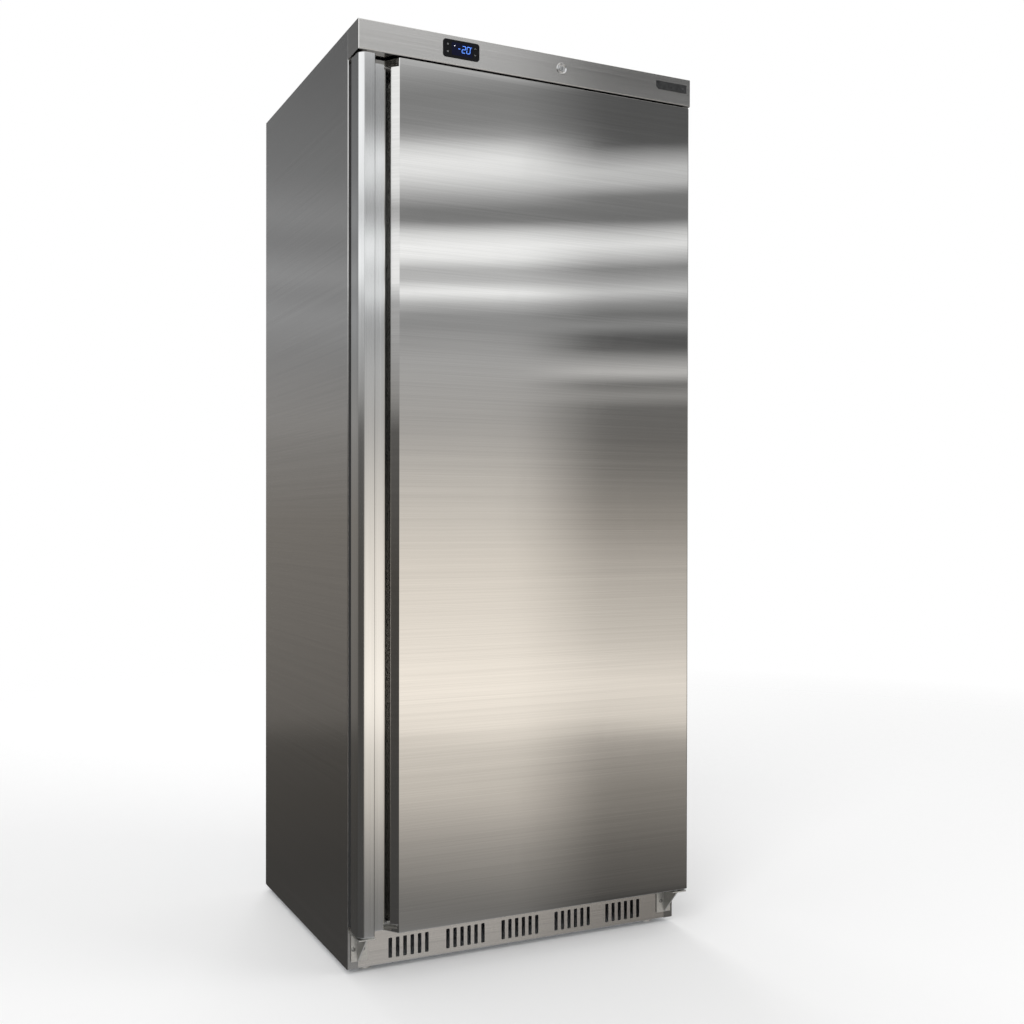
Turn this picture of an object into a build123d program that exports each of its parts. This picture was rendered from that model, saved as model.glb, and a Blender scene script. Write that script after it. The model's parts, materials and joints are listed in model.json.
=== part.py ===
"""Upright commercial freezer with one hinged door, as separate pieces (millimetres).

Origin: middle of the footprint at floor level. +Z is up and the front faces -Y.
+X is to the right of someone standing in front, and the door is hinged on that side.
"""

import os

from build123d import *

os.makedirs("parts", exist_ok=True)

# Overall size
width = 777.0
depth = 695.0
height = 1895.0
floor_gap = 13.0  # underside of the base above the floor

# Sheet metal
sheet = 1.0  # stainless outer sheets; inner bend radius equals the thickness
tray_sheet = 1.5
bracket_sheet = 3.0
front_flange = 23.0  # side panel's return on the front face
rear_flange = 19.0
seam = 0.3  # open joint between neighbouring sheets
face_fold = 2.0  # outer bend radius round the header's front

# Header and base
header_height = 59.5
base_height = 81.0  # door's lower edge above the underside of the base
front_lip = 15.0  # grille panel's folded edges

# Door
door_protrusion = 64.0  # door's front ahead of the cabinet's front
door_thickness = 46.0
door_gap = 3.5  # between door and header
door_side_gap = 1.5  # door's edge inboard of the cabinet's side
edge_radius_left = 16.0
edge_radius_right = 6.0
liner_wall = 2.0
dyke_width = 40.0  # raised frame on the door's inner face
dyke_margin = 6.0  # dyke to cavity wall
dyke_reach = 8.0  # how far the dyke enters the cavity
dyke_radius = 6.0

# Handle, measured from the door's left edge and from its front face
lip_width = 34.2
lip_thickness = 9.0
undercut = 20.7  # finger room behind the lip
groove_depth = 30.0
groove_mouth = 49.3  # from the lip to the main panel
groove_curve = 20.0
fold_radius = 3.5
lip_radius = 2.0
groove_corner = 2.5

# Gasket
gasket_margin = 25.0  # gasket to the door's edge
gasket_width = 24.0
gasket_air = 0.2  # between gasket and cabinet
gasket_base = 4.0
gasket_head = 6.0
gasket_waist = 8.0

# Cavity
wall = 60.0  # from the outside of the cabinet to the liner's inner face
cavity_side_wall = 60.5
cavity_floor_wall = 58.0  # door's lower edge to the cavity's floor
cavity_top_wall = 119.0  # cavity's ceiling to the top of the cabinet
cavity_radius = 15.0

# Machine compartment at the rear
compartment_depth = 250.0
compartment_height = 278.0  # above the underside of the base
step_insulation = 60.0

# Hinge
hinge_inset = 22.0  # axis from the door's right edge
hinge_forward = 45.0  # axis ahead of the cabinet's front
lower_pin_radius = 6.0
upper_pin_radius = 5.0
running = 0.05  # radial clearance of a shaft in its hole
bush_wall = 5.9
bush_depth = 25.0
bush_flange = 1.7
collar_height = 2.0
pin_reach = 56.0
upper_plate_reach = 13.0  # upper hinge plate ahead of the axis
upper_flange = 35.0
pocket_clearance = 0.1
spring_wire = 2.0
spring_turns = 6
spring_pitch = 4.2

# Corner brackets under the door
bracket_plate_width = 36.0
bracket_inset = 7.5  # bracket plate from the cabinet's side
bracket_low = 28.0
shelf_width = 35.0
shelf_inset = 3.5
shelf_reach = 60.0
shelf_gap = 4.0  # below the door
gusset_reach = 55.0
screw_radius = 2.5
screw_head_radius = 4.5
screw_head = 2.8
screw_offset = 10.0
screw_level = 53.0
screw_length = 9.0
gusset_shift = 3.0  # gusset outboard of the plate's middle

# Base grille
slot_width = 8.0
slot_height = 41.0
slot_corner = 2.0
slot_pitch = 16.1
slots_per_group = 6
group_pitch = 128.0
group_count = 5
slot_level = 44.0  # middle of the slots

# Controller
controller_inset = 219.5  # controller's middle from the cabinet's left side
controls_drop = 27.0  # controls' middle below the top
bezel_width = 80.0
bezel_height = 36.0
bezel_radius = 6.0
bezel_proud = 2.0
housing_width = 71.0
housing_height = 29.0
housing_depth = 55.0
cutout_clearance = 0.3
window_width = 46.0
window_height = 26.0
window_shift = 1.0
window_thickness = 1.5
key_width = 8.5
key_height = 8.0
key_depth = 4.0
key_travel = 0.8
key_clearance = 0.15
key_rise = 7.5
key_column = 9.6  # key's middle from the bezel's end

# Lock
lock_x = 63.0
lock_ring_radius = 12.5
lock_barrel_radius = 9.5
lock_plug_radius = 6.0
lock_length = 30.0
cam_thickness = 3.0
cam_width = 12.0
cam_length = 46.0
key_slot_width = 1.8
key_slot_height = 7.0
keeper_depth = 18.0
keeper_wall = 3.5
cam_clearance = 1.5

# Badge plate
badge_width = 79.0
badge_height = 18.0
badge_thickness = 0.8
badge_inset = 10.5
badge_drop = 14.0
badge_corner = 6.0

# Evaporator shelves
shelf_count = 6
first_shelf_rise = 30.0  # lowest shelf above the rear step
shelf_pitch = 232.0
tube_radius = 4.0
tube_runs = 12
tube_side_gap = 53.0  # outermost run's middle to the cavity's side
tube_front_gap = 66.5  # front bends' centres behind the cabinet's front
tube_back_gap = 52.5  # rear bends' centres ahead of the cavity's back
wire_radius = 1.5
wire_count = 4
wire_margin = 15.0  # outermost wires to the bends' centres
wire_end_gap = 28.0  # wire's end to the cavity's side
wire_sink = 0.4
riser_radius = 5.0
riser_clearance = 1.0
rail_thickness = 3.0
rail_drop = 12.0
rail_margin = 15.0  # rail's end beyond the bends' centres
rail_overlap = 4.0  # wire ends resting on the rail
rest_gap = 0.2

# Feet and rollers
foot_inset = 48.5  # foot's middle to the cabinet's side
foot_setback = 45.0
foot_radius = 19.0
foot_pad = 8.0
foot_hex = 4.0
foot_stem_radius = 5.0
foot_stem = 32.0
nut_radius = 9.0
nut_height = 12.0
roller_inset = 48.5
roller_setback = 62.0
roller_radius = 20.0
roller_width = 20.0
axle_radius = 4.0
fork_sheet = 2.5
fork_gap = 1.0
fork_rise = 4.0
fork_foot = 12.0
fork_length = 30.0

# Machine compartment's contents
grommet_radius = 11.0
grommet_height = 11.5
compressor_inset = 183.5  # compressor's middle to the cabinet's left side
compressor_setback = 125.0
compressor_radius = 80.0
compressor_height = 165.0
plate_thickness = 3.0
plate_width = 190.0
plate_depth = 150.0
relay_size = (60.0, 28.0, 70.0)
relay_rise = 14.0
condenser_inset = 238.5  # condenser's middle to the cabinet's right side
condenser_width = 280.0
condenser_height = 220.0
condenser_depth = 60.0
condenser_setback = 22.0
condenser_plate = 2.0
fin_count = 24
fin_groove = 6.0
condenser_tubes = 4
shroud_radius = 105.0
shroud_ring = 24.0
motor_radius = 38.0
motor_length = 50.0
motor_gap = 46.0
fan_radius = 95.0
hub_radius = 20.0
hub_length = 18.0
blade_count = 5
blade_chord = 55.0
blade_thickness = 2.0
blade_angle = 28.0
shaft_radius = 3.0
shaft_in_motor = 25.0
drier_radius = 10.0
drier_length = 90.0
copper_radius = 3.5
copper_bend = 12.0
tight_bend = 8.0
capillary_run = 40.0
capillary_drop = 30.0  # capillary's level run below the compartment's ceiling
suction_run = 20.0
port_radius = 5.0  # stub pipes of the compressor and the condenser
port_length = 8.0
motor_arm_width = 20.0
louvre_columns = 4
louvre_rows = 13
louvre_length = 130.0
louvre_height = 7.0
louvre_pitch_x = 165.0
louvre_pitch_z = 18.0
lead_grommet_inset = 46.5  # grommet's middle to the cabinet's left side
lead_grommet_z = 60.0
lead_grommet_radius = 12.0
lead_hole = 4.5

# Planes worked out from the sizes above
half = width / 2
inside = half - sheet
y_face = -depth / 2 + bezel_proud
y_front = y_face + door_protrusion
y_back = depth / 2
y_panel = y_back - sheet
y_inner_back = y_panel - sheet
y_inner_front = y_front + 2 * sheet
z_header = height - header_height
z_door = floor_gap + base_height
z_door_top = z_header - door_gap
y_door_back = y_face + door_thickness
between_flanges = half - front_flange - seam
cavity_half = half - cavity_side_wall
cavity_back = y_back - wall
cavity_floor = z_door + cavity_floor_wall
cavity_top = height - cavity_top_wall
y_compartment = y_back - compartment_depth
y_step = y_compartment - step_insulation
compartment_top = floor_gap + compartment_height
z_step = compartment_top + step_insulation - sheet
deck = floor_gap + sheet
deck_top = deck + tray_sheet
door_left = -half + door_side_gap
door_right = half - door_side_gap
hinge_x = door_right - hinge_inset
hinge_y = y_front - hinge_forward
controller_x = -half + controller_inset
z_controls = height - controls_drop
foot_x = half - foot_inset
roller_x = half - roller_inset
compressor_x = -half + compressor_inset
condenser_x = half - condenser_inset
lead_grommet_x = -half + lead_grommet_inset
bracket_x = half - bracket_inset - bracket_plate_width / 2
z_shelf = z_door - shelf_gap
gusset_x = bracket_x + gusset_shift
screw_xs = [gusset_x - screw_offset, gusset_x + screw_offset]


def span(x, y, z, mode=Mode.ADD):
    """Box between a lower and an upper limit on each axis."""
    with Locations((sum(x) / 2, sum(y) / 2, sum(z) / 2)):
        Box(x[1] - x[0], y[1] - y[0], z[1] - z[0], mode=mode)


def rod(centre, direction, radius, length, mode=Mode.ADD):
    """Cylinder that starts at a point and runs along a direction."""
    with Locations(Plane(origin=centre, z_dir=direction)):
        Cylinder(radius, length, align=(Align.CENTER, Align.CENTER, Align.MIN), mode=mode)


def bent_sheet(corners, thickness, plane, length):
    """Sheet bent along the corner points of its centre line and drawn out to a length."""
    with BuildPart() as panel:
        with BuildSketch(plane):
            with BuildLine():
                FilletPolyline(*corners, radius=1.5 * thickness)
            trace(line_width=thickness)
        extrude(amount=length)
    return panel.part


def pipe(corners, bend, radius):
    """Round tube along straight runs that are joined by bends of one radius."""
    with BuildPart() as tube:
        with BuildLine() as route:
            FilletPolyline(*corners, radius=bend)
        with BuildSketch(Plane(origin=route.line @ 0, z_dir=route.line % 0)):
            Circle(radius)
        sweep()
    return tube.part


def save(piece, name):
    """Label a finished piece and write it."""
    piece.label = name
    export_step(piece, f"parts/{name}.step")


# ---------------------------------------------------------------- outer cabinet


def side_panel(side):
    """Side sheet with a front and a rear return, -1 for the left and 1 for the right."""
    outer = side * (half - sheet / 2)
    shell = bent_sheet(
        [
            (side * (half - front_flange), y_front + sheet / 2),
            (outer, y_front + sheet / 2),
            (outer, y_back - sheet / 2),
            (side * (half - rear_flange), y_back - sheet / 2),
        ],
        sheet,
        Plane.XY.offset(floor_gap),
        height - floor_gap,
    )
    with BuildPart() as panel:
        add(shell)
        rod(
            (side * screw_xs[1], y_front - sheet, screw_level),
            (0, 1, 0),
            screw_radius + 2 * running,
            3 * sheet,
            Mode.SUBTRACT,
        )
    return panel.part


save(side_panel(-1), "side_panel_left")
save(side_panel(1), "side_panel_right")

with BuildPart() as top_panel:
    span((-inside, inside), (y_inner_front, y_inner_back), (height - sheet, height))
    span((-between_flanges, between_flanges), (y_front, y_inner_front), (height - sheet, height))
    span(
        (-between_flanges, between_flanges),
        (y_front, y_front + sheet),
        (z_header + sheet, height - sheet),
    )
save(top_panel.part, "top_panel")

panel_half = inside - sheet
with BuildPart() as back_panel:
    span((-panel_half, panel_half), (y_inner_back, y_panel), (compartment_top, height))
save(back_panel.part, "back_panel")

with BuildPart() as header_room:
    span((-inside, inside), (y_face + sheet, y_front), (z_header + sheet, height - sheet))
    fillet(header_room.faces().sort_by(Axis.Y)[0].edges(), face_fold - sheet)

with BuildPart() as header_fascia:
    span((-half, half), (y_face, y_front), (z_header, height))
    fillet(header_fascia.faces().sort_by(Axis.Y)[0].edges(), face_fold)
    add(header_room.part, mode=Mode.SUBTRACT)
    opening_x = housing_width / 2 + cutout_clearance
    opening_z = housing_height / 2 + cutout_clearance
    span(
        (controller_x - opening_x, controller_x + opening_x),
        (y_face - sheet, y_face + 2 * sheet),
        (z_controls - opening_z, z_controls + opening_z),
        Mode.SUBTRACT,
    )
    rod(
        (lock_x, y_face - sheet, z_controls),
        (0, 1, 0),
        lock_barrel_radius + cutout_clearance,
        3 * sheet,
        Mode.SUBTRACT,
    )
    rod(
        (hinge_x, hinge_y, z_header - sheet),
        (0, 0, 1),
        upper_pin_radius + sheet,
        3 * sheet,
        Mode.SUBTRACT,
    )
    y_cam = y_face + lock_length
    span(
        (lock_x - cam_length + cam_width / 2, lock_x + cam_width / 2 + 2 * cam_clearance),
        (y_cam - cam_clearance, y_cam + cam_thickness + cam_clearance),
        (z_header - sheet, z_header + 2 * sheet),
        Mode.SUBTRACT,
    )
save(header_fascia.part, "header_fascia")

z_panel_top = z_door - sheet
grille_shell = bent_sheet(
    [
        (y_front + front_lip, floor_gap + sheet / 2),
        (y_front + sheet / 2, floor_gap + sheet / 2),
        (y_front + sheet / 2, z_panel_top - sheet / 2),
        (y_front + front_lip, z_panel_top - sheet / 2),
    ],
    sheet,
    Plane.YZ.offset(-between_flanges),
    2 * between_flanges,
)
with BuildPart() as grille_panel:
    add(grille_shell)
    with BuildSketch(Plane.XZ.offset(-y_front + sheet)):
        with Locations((0, slot_level)):
            with GridLocations(group_pitch, 0, group_count, 1):
                with GridLocations(slot_pitch, 0, slots_per_group, 1):
                    RectangleRounded(slot_width, slot_height, slot_corner)
    extrude(amount=-3 * sheet, mode=Mode.SUBTRACT)
    for side in (-1, 1):
        rod(
            (side * screw_xs[0], y_front - sheet, screw_level),
            (0, 1, 0),
            screw_radius + 2 * running,
            3 * sheet,
            Mode.SUBTRACT,
        )
save(grille_panel.part, "grille_panel")

with BuildPart() as badge_plate:
    badge_right = half - badge_inset
    badge_low = height - badge_drop - badge_height
    span(
        (badge_right - badge_width, badge_right),
        (y_face - badge_thickness, y_face),
        (badge_low, badge_low + badge_height),
    )
    corners = badge_plate.edges().filter_by(Axis.Y).group_by(Axis.X)
    chamfer(corners[0].sort_by(Axis.Z)[0], badge_corner)
    fillet(corners[-1], sheet)
save(badge_plate.part, "badge_plate")

# ---------------------------------------------------------------- base and compartment

base_tray_shell = bent_sheet(
    [
        (-inside + tray_sheet / 2, deck_top + 2 * front_lip),
        (-inside + tray_sheet / 2, deck + tray_sheet / 2),
        (inside - tray_sheet / 2, deck + tray_sheet / 2),
        (inside - tray_sheet / 2, deck_top + 2 * front_lip),
    ],
    tray_sheet,
    Plane.XZ.offset(-y_inner_back),
    y_inner_back - y_inner_front,
)
foot_y = y_front + foot_setback
roller_y = y_back - roller_setback
roller_level = roller_radius
fork_half = roller_width / 2 + fork_gap
with BuildPart() as base_tray:
    add(base_tray_shell)
    for side in (-1, 1):
        rod((side * foot_x, foot_y, deck_top), (0, 0, 1), nut_radius, nut_height)
        rod(
            (side * foot_x, foot_y, deck - sheet),
            (0, 0, 1),
            foot_stem_radius + running,
            nut_height + 4 * sheet,
            Mode.SUBTRACT,
        )
        span(
            (side * roller_x - fork_half, side * roller_x + fork_half),
            (roller_y - roller_radius - fork_gap, roller_y + roller_radius + fork_gap),
            (deck - sheet, deck_top + sheet),
            Mode.SUBTRACT,
        )
save(base_tray.part, "base_tray")

machine_housing = bent_sheet(
    [
        (y_inner_front, z_door - sheet / 2),
        (y_compartment + sheet / 2, z_door - sheet / 2),
        (y_compartment + sheet / 2, compartment_top - sheet / 2),
        (y_inner_back, compartment_top - sheet / 2),
    ],
    sheet,
    Plane.YZ.offset(-inside),
    2 * inside,
)
save(machine_housing, "machine_housing")

with BuildPart() as rear_grille:
    span((-panel_half, panel_half), (y_inner_back, y_panel), (deck_top, compartment_top - seam))
    with BuildSketch(Plane.XZ.offset(-y_back)):
        with Locations((0, (deck_top + compartment_top) / 2)):
            with GridLocations(louvre_pitch_x, louvre_pitch_z, louvre_columns, louvre_rows):
                SlotOverall(louvre_length, louvre_height)
    extrude(amount=3 * sheet, mode=Mode.SUBTRACT)
    rod(
        (lead_grommet_x, y_inner_back - sheet, lead_grommet_z),
        (0, 1, 0),
        2 * lead_hole + running,
        3 * sheet,
        Mode.SUBTRACT,
    )
save(rear_grille.part, "rear_grille")

with BuildPart() as lead_grommet:
    grommet_back = y_inner_back - 3 * sheet
    rod((lead_grommet_x, grommet_back, lead_grommet_z), (0, 1, 0), lead_grommet_radius, 3 * sheet)
    rod((lead_grommet_x, y_inner_back, lead_grommet_z), (0, 1, 0), 2 * lead_hole, sheet)
    rod((lead_grommet_x, y_panel, lead_grommet_z), (0, 1, 0), lead_grommet_radius, sheet)
    rod(
        (lead_grommet_x, y_inner_back - 4 * sheet, lead_grommet_z),
        (0, 1, 0),
        lead_hole,
        8 * sheet,
        Mode.SUBTRACT,
    )
save(lead_grommet.part, "lead_grommet")

# ---------------------------------------------------------------- insulated body


def cavity(grow):
    """Room for the frozen goods, with its raised rear step, grown by a wall's thickness."""
    room_half = cavity_half + grow
    low = cavity_floor - grow
    high = cavity_top + grow
    with BuildPart() as room:
        with BuildSketch(Plane.XZ.offset(-(y_front + sheet))):
            with Locations((0, (low + high) / 2)):
                RectangleRounded(2 * room_half, high - low, cavity_radius + grow)
        extrude(amount=-(cavity_back + grow - y_front - sheet))
        span(
            (-half, half),
            (y_step + grow, y_back),
            (low - wall, z_step - grow),
            Mode.SUBTRACT,
        )
    return room.part


cavity_with_liner = cavity(liner_wall)
cavity_room = cavity(0)

with BuildPart() as cabinet_foam:
    with BuildSketch(Plane.YZ.offset(-inside)):
        with BuildLine():
            FilletPolyline(
                (y_front + sheet, z_door),
                (y_compartment, z_door),
                (y_compartment, compartment_top),
                (y_inner_back, compartment_top),
                (y_inner_back, height - sheet),
                (y_front + sheet, height - sheet),
                radius=[0, sheet, 0, 0, 0, 0],
                close=True,
            )
        make_face()
    extrude(amount=2 * inside)
    fillet(cabinet_foam.edges().filter_by(Axis.Z).group_by(Axis.Y)[0], sheet)
    add(cavity_with_liner, mode=Mode.SUBTRACT)
save(cabinet_foam.part, "cabinet_foam")

with BuildPart() as inner_liner:
    add(cavity_with_liner)
    add(cavity_room, mode=Mode.SUBTRACT)
save(inner_liner.part, "inner_liner")

frame_low = z_panel_top + seam
frame_high = z_header + sheet - seam
with BuildPart() as front_frame:
    span(
        (-between_flanges, between_flanges),
        (y_front, y_front + sheet),
        (frame_low, frame_high),
    )
    with BuildSketch(Plane.XZ.offset(-y_front + sheet)):
        with Locations((0, (cavity_floor + cavity_top) / 2)):
            RectangleRounded(2 * cavity_half, cavity_top - cavity_floor, cavity_radius)
    extrude(amount=-3 * sheet, mode=Mode.SUBTRACT)
save(front_frame.part, "front_frame")

# ---------------------------------------------------------------- door

groove_left = door_left + lip_width - undercut
groove_right = door_left + lip_width + groove_mouth
y_beyond = y_door_back + door_thickness
door_corners = [
    (door_left, y_beyond),
    (door_left, y_face),
    (door_left + lip_width, y_face),
    (door_left + lip_width, y_face + lip_thickness),
    (groove_left, y_face + lip_thickness),
    (groove_left, y_face + groove_depth),
    (groove_right, y_face + groove_depth),
    (groove_right, y_face),
    (door_right, y_face),
    (door_right, y_beyond),
]
door_radii = [
    0,
    edge_radius_left,
    lip_radius,
    lip_radius,
    groove_corner,
    groove_corner,
    groove_curve,
    fold_radius,
    edge_radius_right,
    0,
]


def door_slab(inset, low, high):
    """Door's plan section with its handle groove, inset by a thickness, between two levels."""
    with BuildPart() as slab:
        with BuildSketch(Plane.XY.offset(low)):
            with BuildLine():
                FilletPolyline(*door_corners, radius=door_radii, close=True)
            make_face()
            if inset:
                offset(amount=-inset)
        extrude(amount=high - low)
    return slab.part


door_outside = door_slab(0, z_door, z_door_top)
door_inside = door_slab(sheet, z_door + sheet, z_door_top - sheet)
split_x = groove_right - groove_curve
lower_bush_radius = lower_pin_radius + bush_wall
upper_bush_radius = upper_pin_radius + bush_wall
keeper_x = (lock_x - cam_length + cam_width / 2, lock_x + cam_width / 2 + 2 * cam_clearance)
keeper_y = (y_cam - cam_clearance, y_cam + cam_thickness + cam_clearance)


def door_shell(left, right):
    """Folded outer sheet of the door between two places along its width."""
    with BuildPart() as shell:
        add(door_outside)
        add(door_inside, mode=Mode.SUBTRACT)
        span((left, right), (y_face - sheet, y_door_back), (z_door, z_door_top), Mode.INTERSECT)
    return shell.part


handle_profile = door_shell(door_left - sheet, split_x - seam)
save(handle_profile, "handle_profile")

skin_shell = door_shell(split_x, door_right + sheet)
with BuildPart() as door_skin:
    add(skin_shell)
    rod(
        (hinge_x, hinge_y, z_door - sheet),
        (0, 0, 1),
        lower_bush_radius + pocket_clearance,
        3 * sheet,
        Mode.SUBTRACT,
    )
    rod(
        (hinge_x, hinge_y, z_door_top - 2 * sheet),
        (0, 0, 1),
        upper_bush_radius + pocket_clearance,
        3 * sheet,
        Mode.SUBTRACT,
    )
    span(
        (keeper_x[0] - keeper_wall, keeper_x[1] + keeper_wall),
        (keeper_y[0] - keeper_wall, keeper_y[1] + keeper_wall),
        (z_door_top - 2 * sheet, z_door_top + sheet),
        Mode.SUBTRACT,
    )
save(door_skin.part, "door_skin")

dyke_half = cavity_half - dyke_margin
dyke_low = cavity_floor + dyke_margin
dyke_high = cavity_top - dyke_margin
y_dyke = y_front + dyke_reach


def dyke(inset):
    """Raised frame on the door's inner face, inset by a wall's thickness."""
    outer = dyke_half - inset
    inner = dyke_half - dyke_width + inset
    low = dyke_low + inset
    high = dyke_high - inset
    with BuildPart() as ring:
        span((-outer, outer), (y_door_back - liner_wall, y_dyke - inset), (low, high))
        span(
            (-inner, inner),
            (y_door_back - 2 * liner_wall, y_dyke),
            (low + dyke_width - 2 * inset, high - dyke_width + 2 * inset),
            Mode.SUBTRACT,
        )
        rim = ring.faces().sort_by(Axis.Y)[-1]
        fillet(rim.edges(), dyke_radius - inset)
    return ring.part


dyke_outside = dyke(0)
dyke_inside = dyke(liner_wall)
plate_x = (door_left + sheet, door_right - sheet)
plate_z = (z_door + sheet, z_door_top - sheet)

with BuildPart() as door_inner_liner:
    span(plate_x, (y_door_back - liner_wall, y_door_back), plate_z)
    add(dyke_outside)
    add(dyke_inside, mode=Mode.SUBTRACT)
save(door_inner_liner.part, "door_inner_liner")

spring_outer = lower_bush_radius - pocket_clearance
spring_low = z_door + bush_depth + seam
pocket_top = z_shelf + pin_reach + 3 * sheet
with BuildPart() as door_filling:
    add(door_inside)
    span(
        (-half, half),
        (y_face, y_door_back - liner_wall),
        (z_door, z_door_top),
        Mode.INTERSECT,
    )
    add(dyke_inside)
    rod(
        (hinge_x, hinge_y, z_door),
        (0, 0, 1),
        lower_bush_radius + pocket_clearance,
        pocket_top - z_door,
        Mode.SUBTRACT,
    )
    rod(
        (hinge_x, hinge_y, z_door_top - bush_depth),
        (0, 0, 1),
        upper_bush_radius + pocket_clearance,
        bush_depth,
        Mode.SUBTRACT,
    )
    span(
        (keeper_x[0] - keeper_wall, keeper_x[1] + keeper_wall),
        (keeper_y[0] - keeper_wall, keeper_y[1] + keeper_wall),
        (z_door_top - keeper_depth, z_door_top),
        Mode.SUBTRACT,
    )


def foam_block(x, y, z):
    """Share of the door's foam between two limits on each axis."""
    with BuildPart() as block:
        add(door_filling.part)
        span(x, y, z, Mode.INTERSECT)
    return block.part


# The foam is cut where it turns a corner: round the handle groove and along the raised frame
foam_height = (z_door, z_door_top)
slab_y = (y_face, y_door_back - liner_wall)
frame_y = (y_door_back - liner_wall, y_dyke)
lip_back = y_face + lip_thickness
handle_edge = groove_left - sheet
slab_left = groove_right + sheet
bar_inner = dyke_half - dyke_width + liner_wall
bar_low = dyke_low + dyke_width - liner_wall
bar_high = dyke_high - dyke_width + liner_wall
door_foam = Compound(
    children=[
        foam_block((door_left, handle_edge), slab_y, foam_height),
        foam_block((handle_edge, split_x), (y_face, lip_back), foam_height),
        foam_block((handle_edge, split_x), (lip_back, slab_y[1]), foam_height),
        foam_block((split_x, slab_left), slab_y, foam_height),
        foam_block((slab_left, door_right), slab_y, foam_height),
        foam_block((-dyke_half, -bar_inner), frame_y, foam_height),
        foam_block((bar_inner, dyke_half), frame_y, foam_height),
        foam_block((-bar_inner, bar_inner), frame_y, (dyke_low, bar_low)),
        foam_block((-bar_inner, bar_inner), frame_y, (bar_high, dyke_high)),
    ]
)
save(door_foam, "door_foam")

with BuildPart() as lock_keeper:
    span(
        (keeper_x[0] - keeper_wall, keeper_x[1] + keeper_wall),
        (keeper_y[0] - keeper_wall, keeper_y[1] + keeper_wall),
        (z_door_top - keeper_depth, z_door_top),
    )
    span(
        keeper_x,
        keeper_y,
        (z_door_top - keeper_depth + keeper_wall, z_door_top + sheet),
        Mode.SUBTRACT,
    )
save(lock_keeper.part, "lock_keeper")

gasket_outer = door_right - gasket_margin
gasket_low = z_door + gasket_margin
gasket_high = z_door_top - gasket_margin


def gasket_ring(thickness, y_start, y_end):
    """One level of the gasket, centred on the gasket's middle line."""
    margin = (gasket_width - thickness) / 2
    outer = gasket_outer - margin
    low = gasket_low + margin
    high = gasket_high - margin
    with BuildPart() as ring:
        span((-outer, outer), (y_start, y_end), (low, high))
        span(
            (-outer + thickness, outer - thickness),
            (y_start, y_end),
            (low + thickness, high - thickness),
            Mode.SUBTRACT,
        )
    return ring.part


y_waist = y_door_back + gasket_base
y_head = y_front - gasket_air - gasket_head
gasket_rings = [
    gasket_ring(gasket_width, y_door_back, y_waist),
    gasket_ring(gasket_waist, y_waist, y_head),
    gasket_ring(gasket_width, y_head, y_front - gasket_air),
]
with BuildPart() as door_gasket:
    for ring in gasket_rings:
        add(ring)
save(door_gasket.part, "door_gasket")

# ---------------------------------------------------------------- hinge


def bush(level, up, pin_radius, radius):
    """Flanged bush in the door's end, its flange on the outside of the door."""
    with BuildPart() as sleeve:
        rod((hinge_x, hinge_y, level), (0, 0, up), radius, bush_depth)
        rod((hinge_x, hinge_y, level), (0, 0, -up), radius + 2 * sheet, bush_flange)
        rod(
            (hinge_x, hinge_y, level - up * 2 * bush_flange),
            (0, 0, up),
            pin_radius + running,
            bush_depth + 4 * bush_flange,
            Mode.SUBTRACT,
        )
    return sleeve.part


save(bush(z_door, 1, lower_pin_radius, lower_bush_radius), "lower_hinge_bush")
save(bush(z_door_top, -1, upper_pin_radius, upper_bush_radius), "upper_hinge_bush")


def corner_bracket(side, with_pin):
    """Angle bracket under the door with a gusset, 1 on the right and -1 on the left."""
    plate_left = bracket_x - bracket_plate_width / 2
    plate_right = bracket_x + bracket_plate_width / 2
    shelf_right = half - shelf_inset
    y_plate = y_front - bracket_sheet
    with BuildPart() as bracket:
        span((plate_left, plate_right), (y_plate, y_front), (bracket_low, z_shelf))
        span(
            (shelf_right - shelf_width, shelf_right),
            (y_front - shelf_reach, y_front),
            (z_shelf - bracket_sheet, z_shelf),
        )
        with BuildSketch(Plane.YZ.offset(gusset_x - bracket_sheet / 2)):
            with BuildLine():
                Polyline(
                    (y_plate, bracket_low),
                    (y_plate, z_shelf - bracket_sheet),
                    (y_front - gusset_reach, z_shelf - bracket_sheet),
                    close=True,
                )
            make_face()
        extrude(amount=bracket_sheet)
        for x in screw_xs:
            rod(
                (x, y_plate - sheet, screw_level),
                (0, 1, 0),
                screw_radius + 2 * running,
                2 * bracket_sheet,
                Mode.SUBTRACT,
            )
        if with_pin:
            rod(
                (hinge_x, hinge_y, z_shelf - bracket_sheet),
                (0, 0, 1),
                lower_pin_radius + running,
                2 * bracket_sheet,
                Mode.SUBTRACT,
            )
    return bracket.part if side > 0 else mirror(bracket.part, about=Plane.YZ)


save(corner_bracket(1, True), "lower_hinge_bracket")
save(corner_bracket(-1, False), "left_door_bracket")

with BuildPart() as bracket_screws:
    for side in (-1, 1):
        for x in screw_xs:
            under_head = y_front - bracket_sheet
            rod((side * x, under_head, screw_level), (0, -1, 0), screw_head_radius, screw_head)
            rod((side * x, under_head, screw_level), (0, 1, 0), screw_radius, screw_length)
            rod(
                (side * x, under_head - screw_head, screw_level),
                (0, 1, 0),
                screw_radius / 2,
                screw_head / 2,
                Mode.SUBTRACT,
            )
save(bracket_screws.part, "bracket_screws")

with BuildPart() as lower_hinge_pin:
    rod((hinge_x, hinge_y, z_shelf - bracket_sheet), (0, 0, 1), lower_pin_radius, pin_reach)
    rod((hinge_x, hinge_y, z_shelf), (0, 0, 1), lower_pin_radius + bracket_sheet, collar_height)
save(lower_hinge_pin.part, "lower_hinge_pin")

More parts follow.
